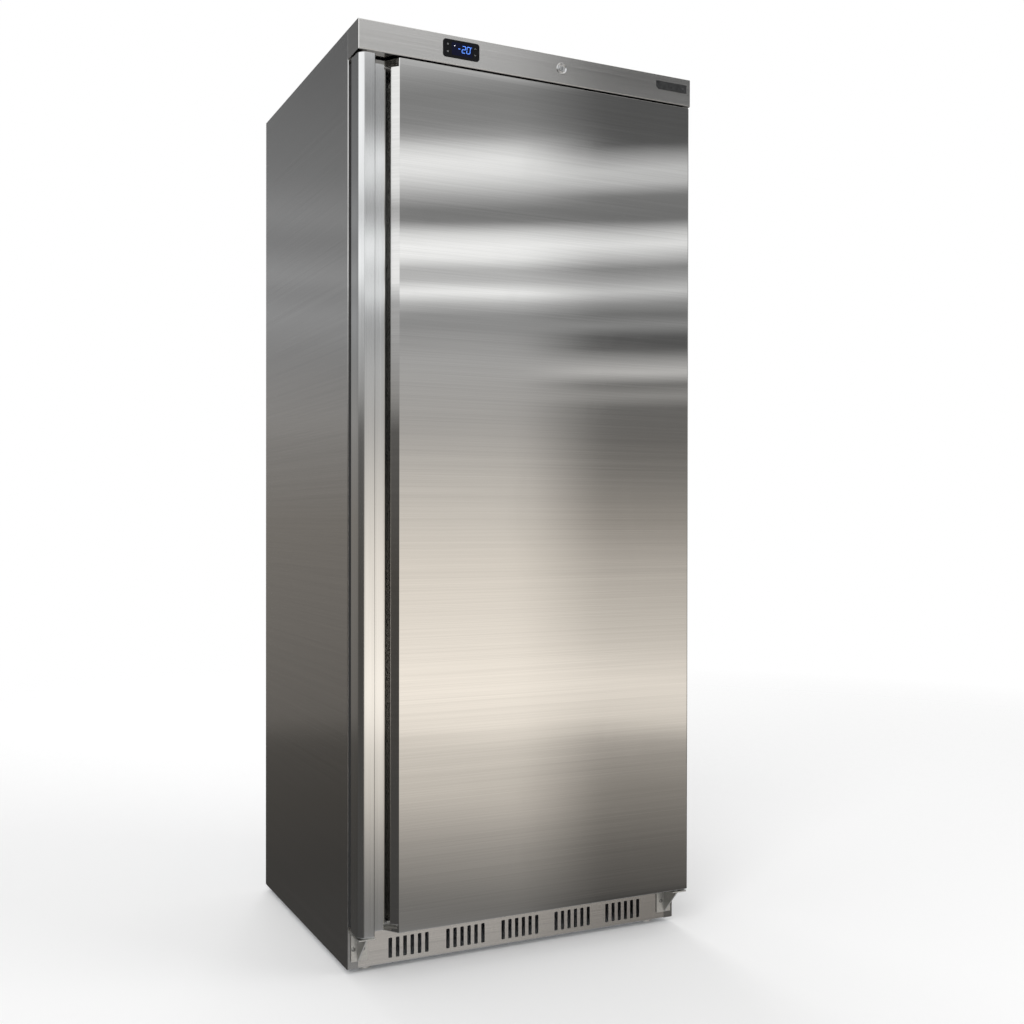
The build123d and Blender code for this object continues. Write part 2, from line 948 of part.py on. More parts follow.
upper_plate = (z_header + sheet, z_header + sheet + bracket_sheet)
with BuildPart() as upper_hinge_bracket:
    upper_x = (hinge_x - bracket_plate_width / 2, hinge_x + bracket_plate_width / 2)
    span(upper_x, (hinge_y - upper_plate_reach, y_front), upper_plate)
    span(upper_x, (y_front - bracket_sheet, y_front), (upper_plate[0], upper_plate[0] + upper_flange))
    rod(
        (hinge_x, hinge_y, z_header),
        (0, 0, 1),
        upper_pin_radius + running,
        3 * bracket_sheet,
        Mode.SUBTRACT,
    )
save(upper_hinge_bracket.part, "upper_hinge_bracket")

with BuildPart() as upper_hinge_pin:
    rod(
        (hinge_x, hinge_y, z_door_top - bush_depth + bracket_sheet),
        (0, 0, 1),
        upper_pin_radius,
        upper_plate[1] - z_door_top + bush_depth - bracket_sheet,
    )
    rod((hinge_x, hinge_y, upper_plate[1]), (0, 0, 1), upper_pin_radius + bracket_sheet, bracket_sheet)
save(upper_hinge_pin.part, "upper_hinge_pin")

spring_radius = spring_outer - spring_wire
with BuildPart() as closing_spring:
    with BuildLine() as coil:
        Helix(
            pitch=spring_pitch,
            height=spring_pitch * spring_turns,
            radius=spring_radius,
            center=(hinge_x, hinge_y, spring_low + spring_wire / 2),
        )
    with BuildSketch(Plane(origin=coil.line @ 0, z_dir=coil.line % 0)):
        Circle(spring_wire / 2)
    sweep()
save(closing_spring.part, "closing_spring")

# ---------------------------------------------------------------- controls in the header

window_x = (
    controller_x + window_shift - window_width / 2,
    controller_x + window_shift + window_width / 2,
)
window_z = (z_controls - window_height / 2, z_controls + window_height / 2)
y_bezel = y_face - bezel_proud
key_places = {
    "key_upper_left": (controller_x - bezel_width / 2 + key_column, z_controls + key_rise),
    "key_lower_left": (controller_x - bezel_width / 2 + key_column, z_controls - key_rise),
    "key_upper_right": (controller_x + bezel_width / 2 - key_column, z_controls + key_rise),
    "key_lower_right": (controller_x + bezel_width / 2 - key_column, z_controls - key_rise),
}


def key_block(place, clearance, depth_behind, mode):
    """Room of one key, or the key itself, from the bezel's front inwards."""
    x, z = place
    span(
        (x - key_width / 2 - clearance, x + key_width / 2 + clearance),
        (y_bezel, y_bezel + depth_behind),
        (z - key_height / 2 - clearance, z + key_height / 2 + clearance),
        mode,
    )


with BuildPart() as controller_housing:
    with BuildSketch(Plane.XZ.offset(-y_face)):
        with Locations((controller_x, z_controls)):
            RectangleRounded(bezel_width, bezel_height, bezel_radius)
    extrude(amount=bezel_proud)
    span(
        (controller_x - housing_width / 2, controller_x + housing_width / 2),
        (y_face, y_face + housing_depth),
        (z_controls - housing_height / 2, z_controls + housing_height / 2),
    )
    fillet(controller_housing.faces().sort_by(Axis.Y)[0].edges(), bezel_proud / 2)
    span(window_x, (y_bezel, y_bezel + window_thickness), window_z, Mode.SUBTRACT)
    for place in key_places.values():
        key_block(place, key_clearance, key_depth + key_travel + key_clearance, Mode.SUBTRACT)
save(controller_housing.part, "controller_housing")

with BuildPart() as display_window:
    span(window_x, (y_bezel, y_bezel + window_thickness), window_z)
save(display_window.part, "display_window")

for key_name, place in key_places.items():
    with BuildPart() as key:
        key_block(place, 0, key_depth, Mode.ADD)
        fillet(key.edges().filter_by(Axis.Y), sheet)
    save(key.part, key_name)

with BuildPart() as lock_housing:
    rod((lock_x, y_face, z_controls), (0, -1, 0), lock_ring_radius, bezel_proud)
    chamfer(lock_housing.faces().sort_by(Axis.Y)[0].edges(), bezel_proud / 2)
    rod((lock_x, y_face, z_controls), (0, 1, 0), lock_barrel_radius, lock_length - seam)
    rod(
        (lock_x, y_bezel - sheet, z_controls),
        (0, 1, 0),
        lock_plug_radius + running,
        lock_length + 2 * bezel_proud,
        Mode.SUBTRACT,
    )
save(lock_housing.part, "lock_housing")

with BuildPart() as lock_plug:
    rod((lock_x, y_bezel + sheet / 2, z_controls), (0, 1, 0), lock_plug_radius, y_cam - y_bezel - sheet / 2)
    span(
        (lock_x - key_slot_width / 2, lock_x + key_slot_width / 2),
        (y_bezel, y_bezel + lock_length / 2),
        (z_controls - key_slot_height / 2, z_controls + key_slot_height / 2),
        Mode.SUBTRACT,
    )
save(lock_plug.part, "lock_plug")

with BuildPart() as lock_cam:
    span(
        (lock_x - cam_length, lock_x),
        (y_cam, y_cam + cam_thickness),
        (z_controls - cam_width / 2, z_controls + cam_width / 2),
    )
    rod((lock_x, y_cam, z_controls), (0, 1, 0), lock_plug_radius + 2 * sheet, cam_thickness)
    rod((lock_x, y_cam + cam_thickness, z_controls), (0, 1, 0), lock_plug_radius, cam_thickness)
save(lock_cam.part, "lock_cam")

# ---------------------------------------------------------------- evaporator shelves

first_shelf = z_step + first_shelf_rise
tube_left = -cavity_half + tube_side_gap
tube_pitch = -2 * tube_left / (tube_runs - 1)
tube_front = y_front + tube_front_gap
tube_back = cavity_back - tube_back_gap
tube_end = tube_back + tube_pitch / 2 + tube_radius
with BuildPart() as serpentine:
    with BuildLine() as tube_route:
        for run in range(tube_runs):
            x = tube_left + run * tube_pitch
            near, far = (tube_back, tube_front) if run % 2 == 0 else (tube_front, tube_back)
            first = tube_end if run == 0 else near
            last = tube_end if run == tube_runs - 1 else far
            Line((x, first, first_shelf), (x, last, first_shelf))
            if run < tube_runs - 1:
                crown = far + (tube_pitch / 2 if far == tube_back else -tube_pitch / 2)
                ThreePointArc(
                    (x, far, first_shelf),
                    (x + tube_pitch / 2, crown, first_shelf),
                    (x + tube_pitch, far, first_shelf),
                )
    with BuildSketch(Plane(origin=tube_route.line @ 0, z_dir=tube_route.line % 0)):
        Circle(tube_radius)
    sweep()

wire_level = first_shelf + tube_radius + wire_radius - wire_sink
wire_middle = (tube_front + tube_back) / 2
wire_pitch = (tube_back - tube_front - 2 * wire_margin) / (wire_count - 1)
wire_length = 2 * (cavity_half - wire_end_gap)
with BuildPart() as evaporator_shelf:
    add(serpentine.part)
    with Locations((0, wire_middle, wire_level)):
        with GridLocations(0, wire_pitch, 1, wire_count):
            Cylinder(wire_radius, wire_length, rotation=(0, 90, 0))
for shelf_number in range(shelf_count):
    shelf_copy = evaporator_shelf.part.moved(Location((0, 0, shelf_number * shelf_pitch)))
    save(shelf_copy, f"evaporator_shelf_{shelf_number + 1}")

riser_y = cavity_back - riser_clearance - riser_radius
riser_top = first_shelf + (shelf_count - 1) * shelf_pitch + 2 * riser_radius
with BuildPart() as evaporator_risers:
    for side in (-1, 1):
        rod((side * tube_left, riser_y, z_step), (0, 0, 1), riser_radius, riser_top - z_step)
        for shelf_number in range(shelf_count):
            level = first_shelf + shelf_number * shelf_pitch
            rod((side * tube_left, riser_y, level), (0, -1, 0), tube_radius, riser_y - tube_end)
save(evaporator_risers.part, "evaporator_risers")

rail_top = wire_level - wire_radius - rest_gap
rail_inner = wire_length / 2 - rail_overlap
with BuildPart() as shelf_rails:
    for side in (-1, 1):
        for shelf_number in range(shelf_count):
            level = rail_top + shelf_number * shelf_pitch
            y_rail = (tube_front - rail_margin, tube_back + rail_margin)
            inner, outer = sorted((side * rail_inner, side * cavity_half))
            leg = sorted((side * (cavity_half - rail_thickness), side * cavity_half))
            span((inner, outer), y_rail, (level - rail_thickness, level))
            span(leg, y_rail, (level - rail_drop, level))
save(shelf_rails.part, "shelf_rails")

# ---------------------------------------------------------------- feet and rollers


def foot(x):
    """Levelling foot: round pad, hexagon for the spanner and stem."""
    with BuildPart() as piece:
        rod((x, foot_y, 0), (0, 0, 1), foot_radius, foot_pad)
        fillet(piece.faces().sort_by(Axis.Z)[-1].edges(), 2 * sheet)
        with BuildSketch(Plane.XY.offset(foot_pad)):
            with Locations((x, foot_y)):
                RegularPolygon(nut_radius, 6)
        extrude(amount=foot_hex)
        rod((x, foot_y, foot_pad), (0, 0, 1), foot_stem_radius, foot_stem)
    return piece.part


def roller(x):
    """Solid wheel with rounded shoulders and a bore for its axle."""
    with BuildPart() as piece:
        rod((x - roller_width / 2, roller_y, roller_level), (1, 0, 0), roller_radius, roller_width)
        fillet(piece.edges().filter_by(GeomType.CIRCLE), sheet)
        rod(
            (x - roller_width, roller_y, roller_level),
            (1, 0, 0),
            axle_radius + running,
            2 * roller_width,
            Mode.SUBTRACT,
        )
    return piece.part


save(foot(-foot_x), "foot_left")
save(foot(foot_x), "foot_right")
save(roller(-roller_x), "roller_left")
save(roller(roller_x), "roller_right")

fork_top = roller_level + roller_radius + fork_rise
fork_y = (roller_y - fork_length / 2, roller_y + fork_length / 2)
with BuildPart() as roller_forks:
    for side in (-1, 1):
        x = side * roller_x
        cheek = fork_half + fork_sheet
        span((x - cheek, x + cheek), fork_y, (fork_top, fork_top + fork_sheet))
        for hand in (-1, 1):
            wall_x = sorted((x + hand * fork_half, x + hand * cheek))
            foot_x_range = sorted((x + hand * fork_half, x + hand * (cheek + fork_foot)))
            span(wall_x, fork_y, (deck_top, fork_top))
            span(foot_x_range, fork_y, (deck_top, deck_top + fork_sheet))
        rod((x - cheek, roller_y, roller_level), (1, 0, 0), axle_radius, 2 * cheek)
save(roller_forks.part, "roller_forks")

# ---------------------------------------------------------------- machine compartment

compressor_y = y_back - compressor_setback
plate_low = deck_top + grommet_height
with BuildPart() as compressor_grommets:
    for dx in (-1, 1):
        for dy in (-1, 1):
            rod(
                (
                    compressor_x + dx * (plate_width / 2 - grommet_radius - sheet),
                    compressor_y + dy * (plate_depth / 2 - grommet_radius - sheet),
                    deck_top,
                ),
                (0, 0, 1),
                grommet_radius,
                grommet_height,
            )
save(compressor_grommets.part, "compressor_grommets")

shell_low = plate_low + plate_thickness
shell_top = shell_low + compressor_height
dome = compressor_radius / 2
stub_level = shell_top - compressor_height / 4
stub_reach = compressor_radius + 3 * copper_radius
with BuildPart() as compressor:
    span(
        (compressor_x - plate_width / 2, compressor_x + plate_width / 2),
        (compressor_y - plate_depth / 2, compressor_y + plate_depth / 2),
        (plate_low, shell_low),
    )
    fillet(compressor.edges().filter_by(Axis.Z), grommet_radius)
    with BuildSketch(Plane.XZ.offset(-compressor_y)):
        with BuildLine():
            low_side = (compressor_x + compressor_radius, shell_low + dome)
            high_side = (compressor_x + compressor_radius, shell_top - dome)
            low_rim = (compressor_x + compressor_radius - dome, shell_low)
            high_rim = (compressor_x + compressor_radius - dome, shell_top)
            Polyline(high_rim, (compressor_x, shell_top), (compressor_x, shell_low), low_rim)
            Line(low_side, high_side)
            RadiusArc(low_rim, low_side, -dome)
            RadiusArc(high_side, high_rim, -dome)
        make_face()
    revolve(axis=Axis((compressor_x, compressor_y, 0), (0, 0, 1)))
    middle = (shell_low + shell_top) / 2
    rod(
        (compressor_x, compressor_y, middle),
        (0, 0, 1),
        compressor_radius + bracket_sheet,
        bracket_sheet,
    )
    rod(
        (compressor_x, compressor_y, stub_level - 4 * copper_radius),
        (1, 0, 0),
        port_radius,
        stub_reach,
    )
    rod((compressor_x, compressor_y, stub_level), (0, -1, 0), port_radius, stub_reach)
save(compressor.part, "compressor")

relay_y = compressor_y - compressor_radius - bracket_sheet - seam
with BuildPart() as relay_box:
    span(
        (compressor_x - relay_size[0] / 2, compressor_x + relay_size[0] / 2),
        (relay_y - relay_size[1], relay_y),
        (shell_low + relay_rise, shell_low + relay_rise + relay_size[2]),
    )
    fillet(relay_box.edges().filter_by(Axis.Y), bracket_sheet)
save(relay_box.part, "relay_box")

condenser_back = y_back - condenser_setback
condenser_front = condenser_back - condenser_depth
core_x = (condenser_x - condenser_width / 2, condenser_x + condenser_width / 2)
core_low = deck_top
core_high = deck_top + condenser_height
with BuildPart() as condenser:
    span(
        (core_x[0] + condenser_plate, core_x[1] - condenser_plate),
        (condenser_front + fin_groove, condenser_back - fin_groove),
        (core_low + fin_groove, core_high - fin_groove),
    )
    fin_pitch = (condenser_width - 2 * condenser_plate) / (fin_count + 1)
    with Locations((condenser_x, (condenser_front + condenser_back) / 2, (core_low + core_high) / 2)):
        with GridLocations(fin_pitch, 0, fin_count, 1):
            Box(condenser_plate, condenser_depth, condenser_height - fin_groove)
    for x in (core_x[0], core_x[1] - condenser_plate):
        span((x, x + condenser_plate), (condenser_front, condenser_back), (core_low, core_high))
    tube_step = condenser_height / (condenser_tubes + 1)
    for number in range(condenser_tubes):
        level = core_low + tube_step * (number + 1)
        for side in (-1, 1):
            port = (
                condenser_x + side * condenser_width / 2,
                condenser_front + condenser_depth / 2,
                level,
            )
            rod(port, (side, 0, 0), port_radius, port_length)
save(condenser.part, "condenser")

fan_z = (core_low + core_high) / 2
shroud_front = condenser_front - condenser_plate
ring_front = shroud_front - shroud_ring
motor_back = ring_front - motor_gap / 2
arm_half = shroud_radius + 4 * condenser_plate
with BuildPart() as fan_shroud:
    span(core_x, (shroud_front, condenser_front), (core_low, core_high))
    rod((condenser_x, ring_front, fan_z), (0, 1, 0), shroud_radius + condenser_plate, shroud_ring)
    rod(
        (condenser_x, ring_front - sheet, fan_z),
        (0, 1, 0),
        shroud_radius,
        shroud_ring + condenser_plate + 2 * sheet,
        Mode.SUBTRACT,
    )
    arm_z = (fan_z - motor_arm_width / 2, fan_z + motor_arm_width / 2)
    for side in (-1, 1):
        inner = condenser_x + side * arm_half
        arm = sorted((inner, inner + side * condenser_plate))
        span(arm, (motor_back - condenser_plate, shroud_front), arm_z)
    span(
        (condenser_x - arm_half, condenser_x + arm_half),
        (motor_back - condenser_plate, motor_back),
        arm_z,
    )
    rod(
        (condenser_x, motor_back - 2 * condenser_plate, fan_z),
        (0, 1, 0),
        2 * shaft_radius,
        4 * condenser_plate,
        Mode.SUBTRACT,
    )
save(fan_shroud.part, "fan_shroud")

motor_face = motor_back - condenser_plate
with BuildPart() as fan_motor:
    rod((condenser_x, motor_face - motor_length, fan_z), (0, 1, 0), motor_radius, motor_length)
    fillet(fan_motor.edges().filter_by(GeomType.CIRCLE).sort_by(Axis.Y)[0], 3 * bracket_sheet)
    rod(
        (condenser_x, motor_face - shaft_in_motor - bracket_sheet, fan_z),
        (0, 1, 0),
        shaft_radius + running,
        shaft_in_motor + 2 * bracket_sheet,
        Mode.SUBTRACT,
    )
save(fan_motor.part, "fan_motor")

hub_front = ring_front - bracket_sheet
with BuildPart() as fan_blade:
    with Locations(Plane(origin=(condenser_x, hub_front + hub_length / 2, fan_z), z_dir=(0, 1, 0))):
        with PolarLocations(0, blade_count):
            with Locations((fan_radius / 2, 0, 0)):
                Box(fan_radius, blade_chord, blade_thickness, rotation=(blade_angle, 0, 0))
    rod(
        (condenser_x, hub_front - hub_length, fan_z),
        (0, 1, 0),
        fan_radius,
        3 * hub_length,
        Mode.INTERSECT,
    )
    rod((condenser_x, hub_front, fan_z), (0, 1, 0), hub_radius, hub_length)
    rod(
        (condenser_x, motor_face - shaft_in_motor, fan_z),
        (0, 1, 0),
        shaft_radius,
        hub_front - motor_face + shaft_in_motor + hub_length / 2,
    )
save(fan_blade.part, "fan_blade")

drier_x = core_x[0] - 3 * drier_radius
drier_y = y_compartment + 3 * drier_radius
drier_low = core_low + condenser_height / 4
with BuildPart() as filter_drier:
    rod((drier_x, drier_y, drier_low), (0, 0, 1), drier_radius, drier_length)
    chamfer(filter_drier.edges().filter_by(GeomType.CIRCLE), drier_radius / 2)
save(filter_drier.part, "filter_drier")

stub_x = compressor_x + stub_reach
low_stub = stub_level - 4 * copper_radius
first_tube = core_low + tube_step
last_tube = core_low + condenser_tubes * tube_step
condenser_port = core_x[0] - port_length
condenser_y = condenser_front + condenser_depth / 2
discharge_x = (stub_x + condenser_port) / 2
ceiling = compartment_top - sheet
discharge = pipe(
    [
        (stub_x, compressor_y, low_stub),
        (discharge_x, compressor_y, low_stub),
        (discharge_x, condenser_y, last_tube),
        (condenser_port, condenser_y, last_tube),
    ],
    copper_bend,
    copper_radius,
)
liquid = pipe(
    [
        (condenser_port, condenser_y, first_tube),
        (drier_x, condenser_y, first_tube),
        (drier_x, drier_y, first_tube),
        (drier_x, drier_y, drier_low),
    ],
    tight_bend,
    copper_radius,
)
capillary = pipe(
    [
        (drier_x, drier_y, drier_low + drier_length),
        (drier_x, drier_y, ceiling - capillary_drop),
        (drier_x - capillary_run, drier_y, ceiling - capillary_drop),
        (drier_x - capillary_run, drier_y, ceiling),
    ],
    copper_bend,
    copper_radius,
)
suction = pipe(
    [
        (compressor_x, compressor_y - stub_reach, stub_level),
        (compressor_x, compressor_y - stub_reach - suction_run, stub_level),
        (compressor_x, compressor_y - stub_reach - suction_run, ceiling),
    ],
    copper_bend,
    copper_radius,
)
refrigerant_tubes = Compound(children=[discharge, liquid, capillary, suction])
save(refrigerant_tubes, "refrigerant_tubes")
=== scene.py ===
# %% [markdown]
# # Upright freezer
# This lesson dresses a tall stainless freezer. The measured frame comes first: every solid
# is already at its place, so the new pieces take their main sizes from the frame's boxes, in
# millimetres, and are made metres at the end. Nothing we add may stand outside it.

# %% Load the frame
import json
import math

import bmesh
import bpy
from mathutils import Matrix, Vector


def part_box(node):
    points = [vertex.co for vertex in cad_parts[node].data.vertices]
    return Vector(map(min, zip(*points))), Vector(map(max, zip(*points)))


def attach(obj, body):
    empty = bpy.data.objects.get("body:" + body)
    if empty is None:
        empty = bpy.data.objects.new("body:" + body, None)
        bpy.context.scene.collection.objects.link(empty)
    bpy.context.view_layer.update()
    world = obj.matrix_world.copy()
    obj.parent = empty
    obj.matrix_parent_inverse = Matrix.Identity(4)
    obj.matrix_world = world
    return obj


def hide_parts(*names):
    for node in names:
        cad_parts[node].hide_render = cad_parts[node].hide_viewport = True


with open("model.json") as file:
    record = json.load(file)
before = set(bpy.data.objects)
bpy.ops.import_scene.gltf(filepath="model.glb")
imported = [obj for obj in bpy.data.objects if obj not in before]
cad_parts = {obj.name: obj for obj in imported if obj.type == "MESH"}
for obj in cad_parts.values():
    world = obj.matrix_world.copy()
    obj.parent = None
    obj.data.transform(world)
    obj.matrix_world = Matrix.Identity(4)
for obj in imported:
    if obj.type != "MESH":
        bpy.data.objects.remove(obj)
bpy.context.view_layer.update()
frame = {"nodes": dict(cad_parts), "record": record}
nodes = frame["nodes"]
MM = 0.001


# %% Small helpers
def box_mm(node):
    """Lowest and highest corner of one of the frame's solids, in millimetres."""
    return [[round(value / MM, 3) for value in corner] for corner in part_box(node)]


def middle(low, high, axis):
    """Middle of a box along one axis."""
    return (low[axis] + high[axis]) / 2


def add_object(name, data):
    """Object for a mesh, a lamp or a camera, put into the scene."""
    thing = bpy.data.objects.new(name, data)
    bpy.context.collection.objects.link(thing)
    return thing


print("door skin in millimetres", box_mm("door_skin"))

# %% [markdown]
# ## Camera
# The photograph was taken from the front left at chest height. Ten corners of the cabinet
# give the place, the turn and the focal length. The small shift moves the picture and not
# the viewpoint, so the uprights stay upright.

# %% Camera
CAMERA_PLACE = (-1.1594, -2.5702, 0.9161)
UPRIGHT = Vector((0, 0, 1))
YAW, PITCH, ROLL = (math.radians(angle) for angle in (25.186, -0.298, 0.083))
eye = bpy.data.cameras.new("photo_camera")
eye.sensor_width = 36.0
eye.lens = 42.144
eye.shift_x = 0.02586
eye.shift_y = 0.01382
camera = add_object("photo_camera", eye)
ahead = Vector((math.sin(YAW) * math.cos(PITCH), math.cos(YAW) * math.cos(PITCH), math.sin(PITCH)))
level_right = ahead.cross(UPRIGHT).normalized()
level_up = level_right.cross(ahead)
right = level_right * math.cos(ROLL) + level_up * math.sin(ROLL)
up = right.cross(ahead)
camera_turn = Matrix((right, up, -ahead)).transposed()
camera.matrix_world = Matrix.Translation(CAMERA_PLACE) @ camera_turn.to_4x4()
bpy.context.scene.camera = camera
bpy.context.scene.view_settings.view_transform = "Standard"
print("camera at", CAMERA_PLACE, "lens", eye.lens)

# %% [markdown]
# ## Helpers for node trees
# A material is a small machine of nodes. These helpers add a node, set its sockets and join
# it to others, so that each material below reads as a list of what feeds what. The last
# one closes the skin between two rings of points, which several shapes need.


# %% Node helpers
def feed(tree, socket, value):
    """Gives an input socket its value, or joins it to the socket that the value comes from."""
    if isinstance(value, bpy.types.NodeSocket):
        tree.links.new(value, socket)
    else:
        socket.default_value = value


def add_node(tree, kind, links=None, **settings):
    """Adds a node; settings name its properties, links its input sockets' values or sources."""
    node = tree.nodes.new(kind)
    for key, value in settings.items():
        setattr(node, key, value)
    for key, value in (links or {}).items():
        feed(tree, node.inputs[key], value)
    return node


def bare_tree(owner):
    """Node tree of a material or a world, with nothing in it."""
    owner.use_nodes = True
    owner.node_tree.nodes.clear()
    return owner.node_tree


def maths(tree, operation, *values, clamp=False):
    """One sum on values or sockets."""
    links = dict(enumerate(values))
    return add_node(tree, "ShaderNodeMath", links, operation=operation, use_clamp=clamp).outputs[0]


def spread(tree, value, low, high, to_low=0.0, to_high=1.0):
    """Maps a value from one range to another and holds it there."""
    links = {0: value, 1: low, 2: high, 3: to_low, 4: to_high}
    return add_node(tree, "ShaderNodeMapRange", links).outputs[0]


def blend_colours(tree, factor, first, second, how="MIX"):
    """Mixes two colours."""
    links = {0: factor, 6: first, 7: second}
    return add_node(tree, "ShaderNodeMix", links, data_type="RGBA", blend_type=how).outputs[2]


def ramp(tree, value, stops):
    """Colour ramp from (position, colour) stops."""
    node = add_node(tree, "ShaderNodeValToRGB", {0: value})
    elements = node.color_ramp.elements
    elements[0].position, elements[1].position = stops[0][0], stops[-1][0]
    for place, _ in stops[1:-1]:
        elements.new(place)
    for element, (_, colour) in zip(elements, stops):
        element.color = (*colour, 1.0)
    return node.outputs[0]


def grey(level):
    """Colour without a tint."""
    return (level, level, level)


def join_rings(bm, here, there):
    """Faces between two closed rings of as many vertices."""
    for step in range(len(here)):
        after = (step + 1) % len(here)
        bm.faces.new((here[step], there[step], there[after], here[after]))


print("helpers ready")


# %% [markdown]
# ## Room and floor
# Polished steel has hardly a colour of its own: it shows the room. In the photograph the
# door mirrors strip lights, a ceiling, pale walls and a dark floor, as soft level bands.
# So the freezer stands on a plain pale floor before a white background, in plain soft
# light, and a tall round wall of cards stands far away. The wall is seen in reflections
# only. Its bands are written as height above the horizon in degrees and brightness.

# %% Bands of the room
LOWEST, HIGHEST = -89, 50
FRONT_BANDS = [
    (-89, 0.85), (-45, 0.6), (-24, 0.5), (-21, 0.4), (-19.3, 0.27), (-17.6, 0.27), (-15, 0.54),
    (-13, 0.86), (-10.6, 1.03), (-9.6, 1.34), (-7.7, 1.45), (-5.7, 1.31), (-2, 1.13), (2, 0.84),
    (4.8, 0.61), (7.6, 0.61), (9.5, 0.43), (10.2, 0.5), (10.85, 1.55), (11.75, 0.42), (12.5, 1.42),
    (13.5, 1.55), (13.85, 0.32), (14.7, 0.32), (15.5, 0.72), (16.2, 1.25), (17.1, 1.4), (18.1, 0.4),
    (19.8, 0.34), (21.3, 0.7), (27, 0.8), (50, 0.9),
]
RIGHT_BANDS = [
    (-89, 0.6), (-18, 0.09), (-15, 0.20), (-12.5, 0.36), (-10.4, 0.55), (-9.2, 1.05), (-7.7, 1.24),
    (-5.5, 0.93), (-2, 0.68), (0, 0.46), (2, 0.32), (4, 0.22), (5.9, 0.22), (6.2, 0.75), (6.6, 0.2),
    (7.0, 0.84), (7.5, 0.68), (7.9, 0.16), (9.0, 0.14), (9.3, 0.42), (9.6, 0.18), (10.4, 0.45),
    (11.0, 0.98), (11.8, 0.2), (12.4, 0.72), (13.4, 1.5), (13.85, 0.25), (15.3, 0.3), (15.9, 0.9),
    (16.5, 0.85), (17.3, 0.14), (50, 0.08),
]
SIDE_BANDS = [
    (-89, 0.75), (-60, 0.4), (-30, 0.08), (-16, 0.065), (-13, 0.08), (-10.4, 0.10), (-9.2, 0.175),
    (-5, 0.215), (0, 0.25), (4.0, 0.31), (4.5, 0.345), (8, 0.325), (9.8, 0.395), (10.8, 0.315),
    (11.5, 0.41), (13, 0.28), (14.2, 0.34), (16, 0.25), (20, 0.19), (26, 0.14), (50, 0.35),
]
WINDOW_BANDS = [
    (-89, 0.75), (-60, 0.4), (-20, 0.08), (-3, 0.10), (4.5, 0.16), (6.0, 0.42), (8, 0.55),
    (10.4, 0.62), (11.4, 1.35), (13.5, 1.4), (14.5, 0.5), (15.6, 1.3), (22, 1.4), (50, 1.2),
]
print("front", len(FRONT_BANDS), "right", len(RIGHT_BANDS), "side", len(SIDE_BANDS), "bands")

# %% [markdown]
# ## Tint and sectors
# The photograph is warm where the door mirrors the lower room and neutral above, so the
# bands take their tint from their height. Round the freezer the room has sectors: the front,
# a window to the left of it, and the sides. A ramp over the turn in degrees from the front
# holds the front's share as red and the window's share as green.

# %% Tint and sectors
WARM, COOL = (1.0, 0.935, 0.855), (0.985, 1.0, 1.02)
NEUTRAL_FROM, FLOOR_UNDER, FLOOR_BLEND = 9, -22, 8
SECTORS = [
    (-180, (0, 0, 0)), (-112, (0, 0, 0)), (-98, (0, 1, 0)), (-22, (0, 1, 0)), (-4, (1, 0, 0)),
    (55, (1, 0, 0)), (95, (0, 0, 0)), (180, (0, 0, 0)),
]
RIGHT_STARTS, RIGHT_WHOLE = 26.8, 30.6
ROOM_RADIUS = 400.0


def held(value):
    """Holds a value between nought and one."""
    return min(1.0, max(0.0, value))


def bands_to_stops(bands):
    """Ramp stops of one side of the room: warm below the horizon, neutral above."""
    stops = []
    for height, level in bands:
        warmth = held((NEUTRAL_FROM - height) / NEUTRAL_FROM)
        warmth *= held((height - FLOOR_UNDER) / FLOOR_BLEND)
        tint = [warm * warmth + cool * (1 - warmth) for warm, cool in zip(WARM, COOL)]
        place = (height - LOWEST) / (HIGHEST - LOWEST)
        stops.append((place, tuple(level * part for part in tint)))
    return stops


def ring_wall(name, radius, lowest, highest, steps=32, rows=8):
    """Open wall round the object between two heights above the horizon."""
    bm = bmesh.new()
    rings = []
    for row in range(rows + 1):
        height = math.radians(lowest + (highest - lowest) * row / rows)
        ring = []
        for step in range(steps):
            turn = 2 * math.pi * step / steps
            flat = radius * math.cos(height)
            place = (flat * math.cos(turn), flat * math.sin(turn), radius * math.sin(height))
            ring.append(bm.verts.new(place))
        rings.append(ring)
    for below, above in zip(rings, rings[1:]):
        join_rings(bm, below, above)
    data = bpy.data.meshes.new(name)
    bm.to_mesh(data)
    bm.free()
    return add_object(name, data)


print("window", len(WINDOW_BANDS), "bands, sectors", len(SECTORS))

# %% Wall of cards
room = ring_wall("room_cards", ROOM_RADIUS, LOWEST, HIGHEST)
room_paint = bpy.data.materials.new("room_cards_paint")
tree = bare_tree(room_paint)
spot = add_node(tree, "ShaderNodeTexCoord").outputs["Object"]
direction = add_node(tree, "ShaderNodeVectorMath", {0: spot}, operation="NORMALIZE").outputs[0]
parts = add_node(tree, "ShaderNodeSeparateXYZ", {0: direction})
rise = maths(tree, "MULTIPLY", maths(tree, "ARCSINE", parts.outputs[2]), 180 / math.pi)
turn = maths(tree, "ARCTAN2", parts.outputs[0], maths(tree, "MULTIPLY", parts.outputs[1], -1.0))
turn = maths(tree, "MULTIPLY", turn, 180 / math.pi)
rise_place = spread(tree, rise, LOWEST, HIGHEST)
front_look, right_look, side_look, window_look = (
    ramp(tree, rise_place, bands_to_stops(bands))
    for bands in (FRONT_BANDS, RIGHT_BANDS, SIDE_BANDS, WINDOW_BANDS)
)
to_right = spread(tree, turn, RIGHT_STARTS, RIGHT_WHOLE)
front_look = blend_colours(tree, to_right, front_look, right_look)
sectors = ramp(
    tree, spread(tree, turn, -180, 180), [((angle + 180) / 360, mask) for angle, mask in SECTORS]
)
masks = add_node(tree, "ShaderNodeSeparateColor", {0: sectors})
look = blend_colours(tree, masks.outputs[0], side_look, front_look)
look = blend_colours(tree, masks.outputs[1], look, window_look)
glow = add_node(tree, "ShaderNodeEmission", {0: look, 1: 1.0})
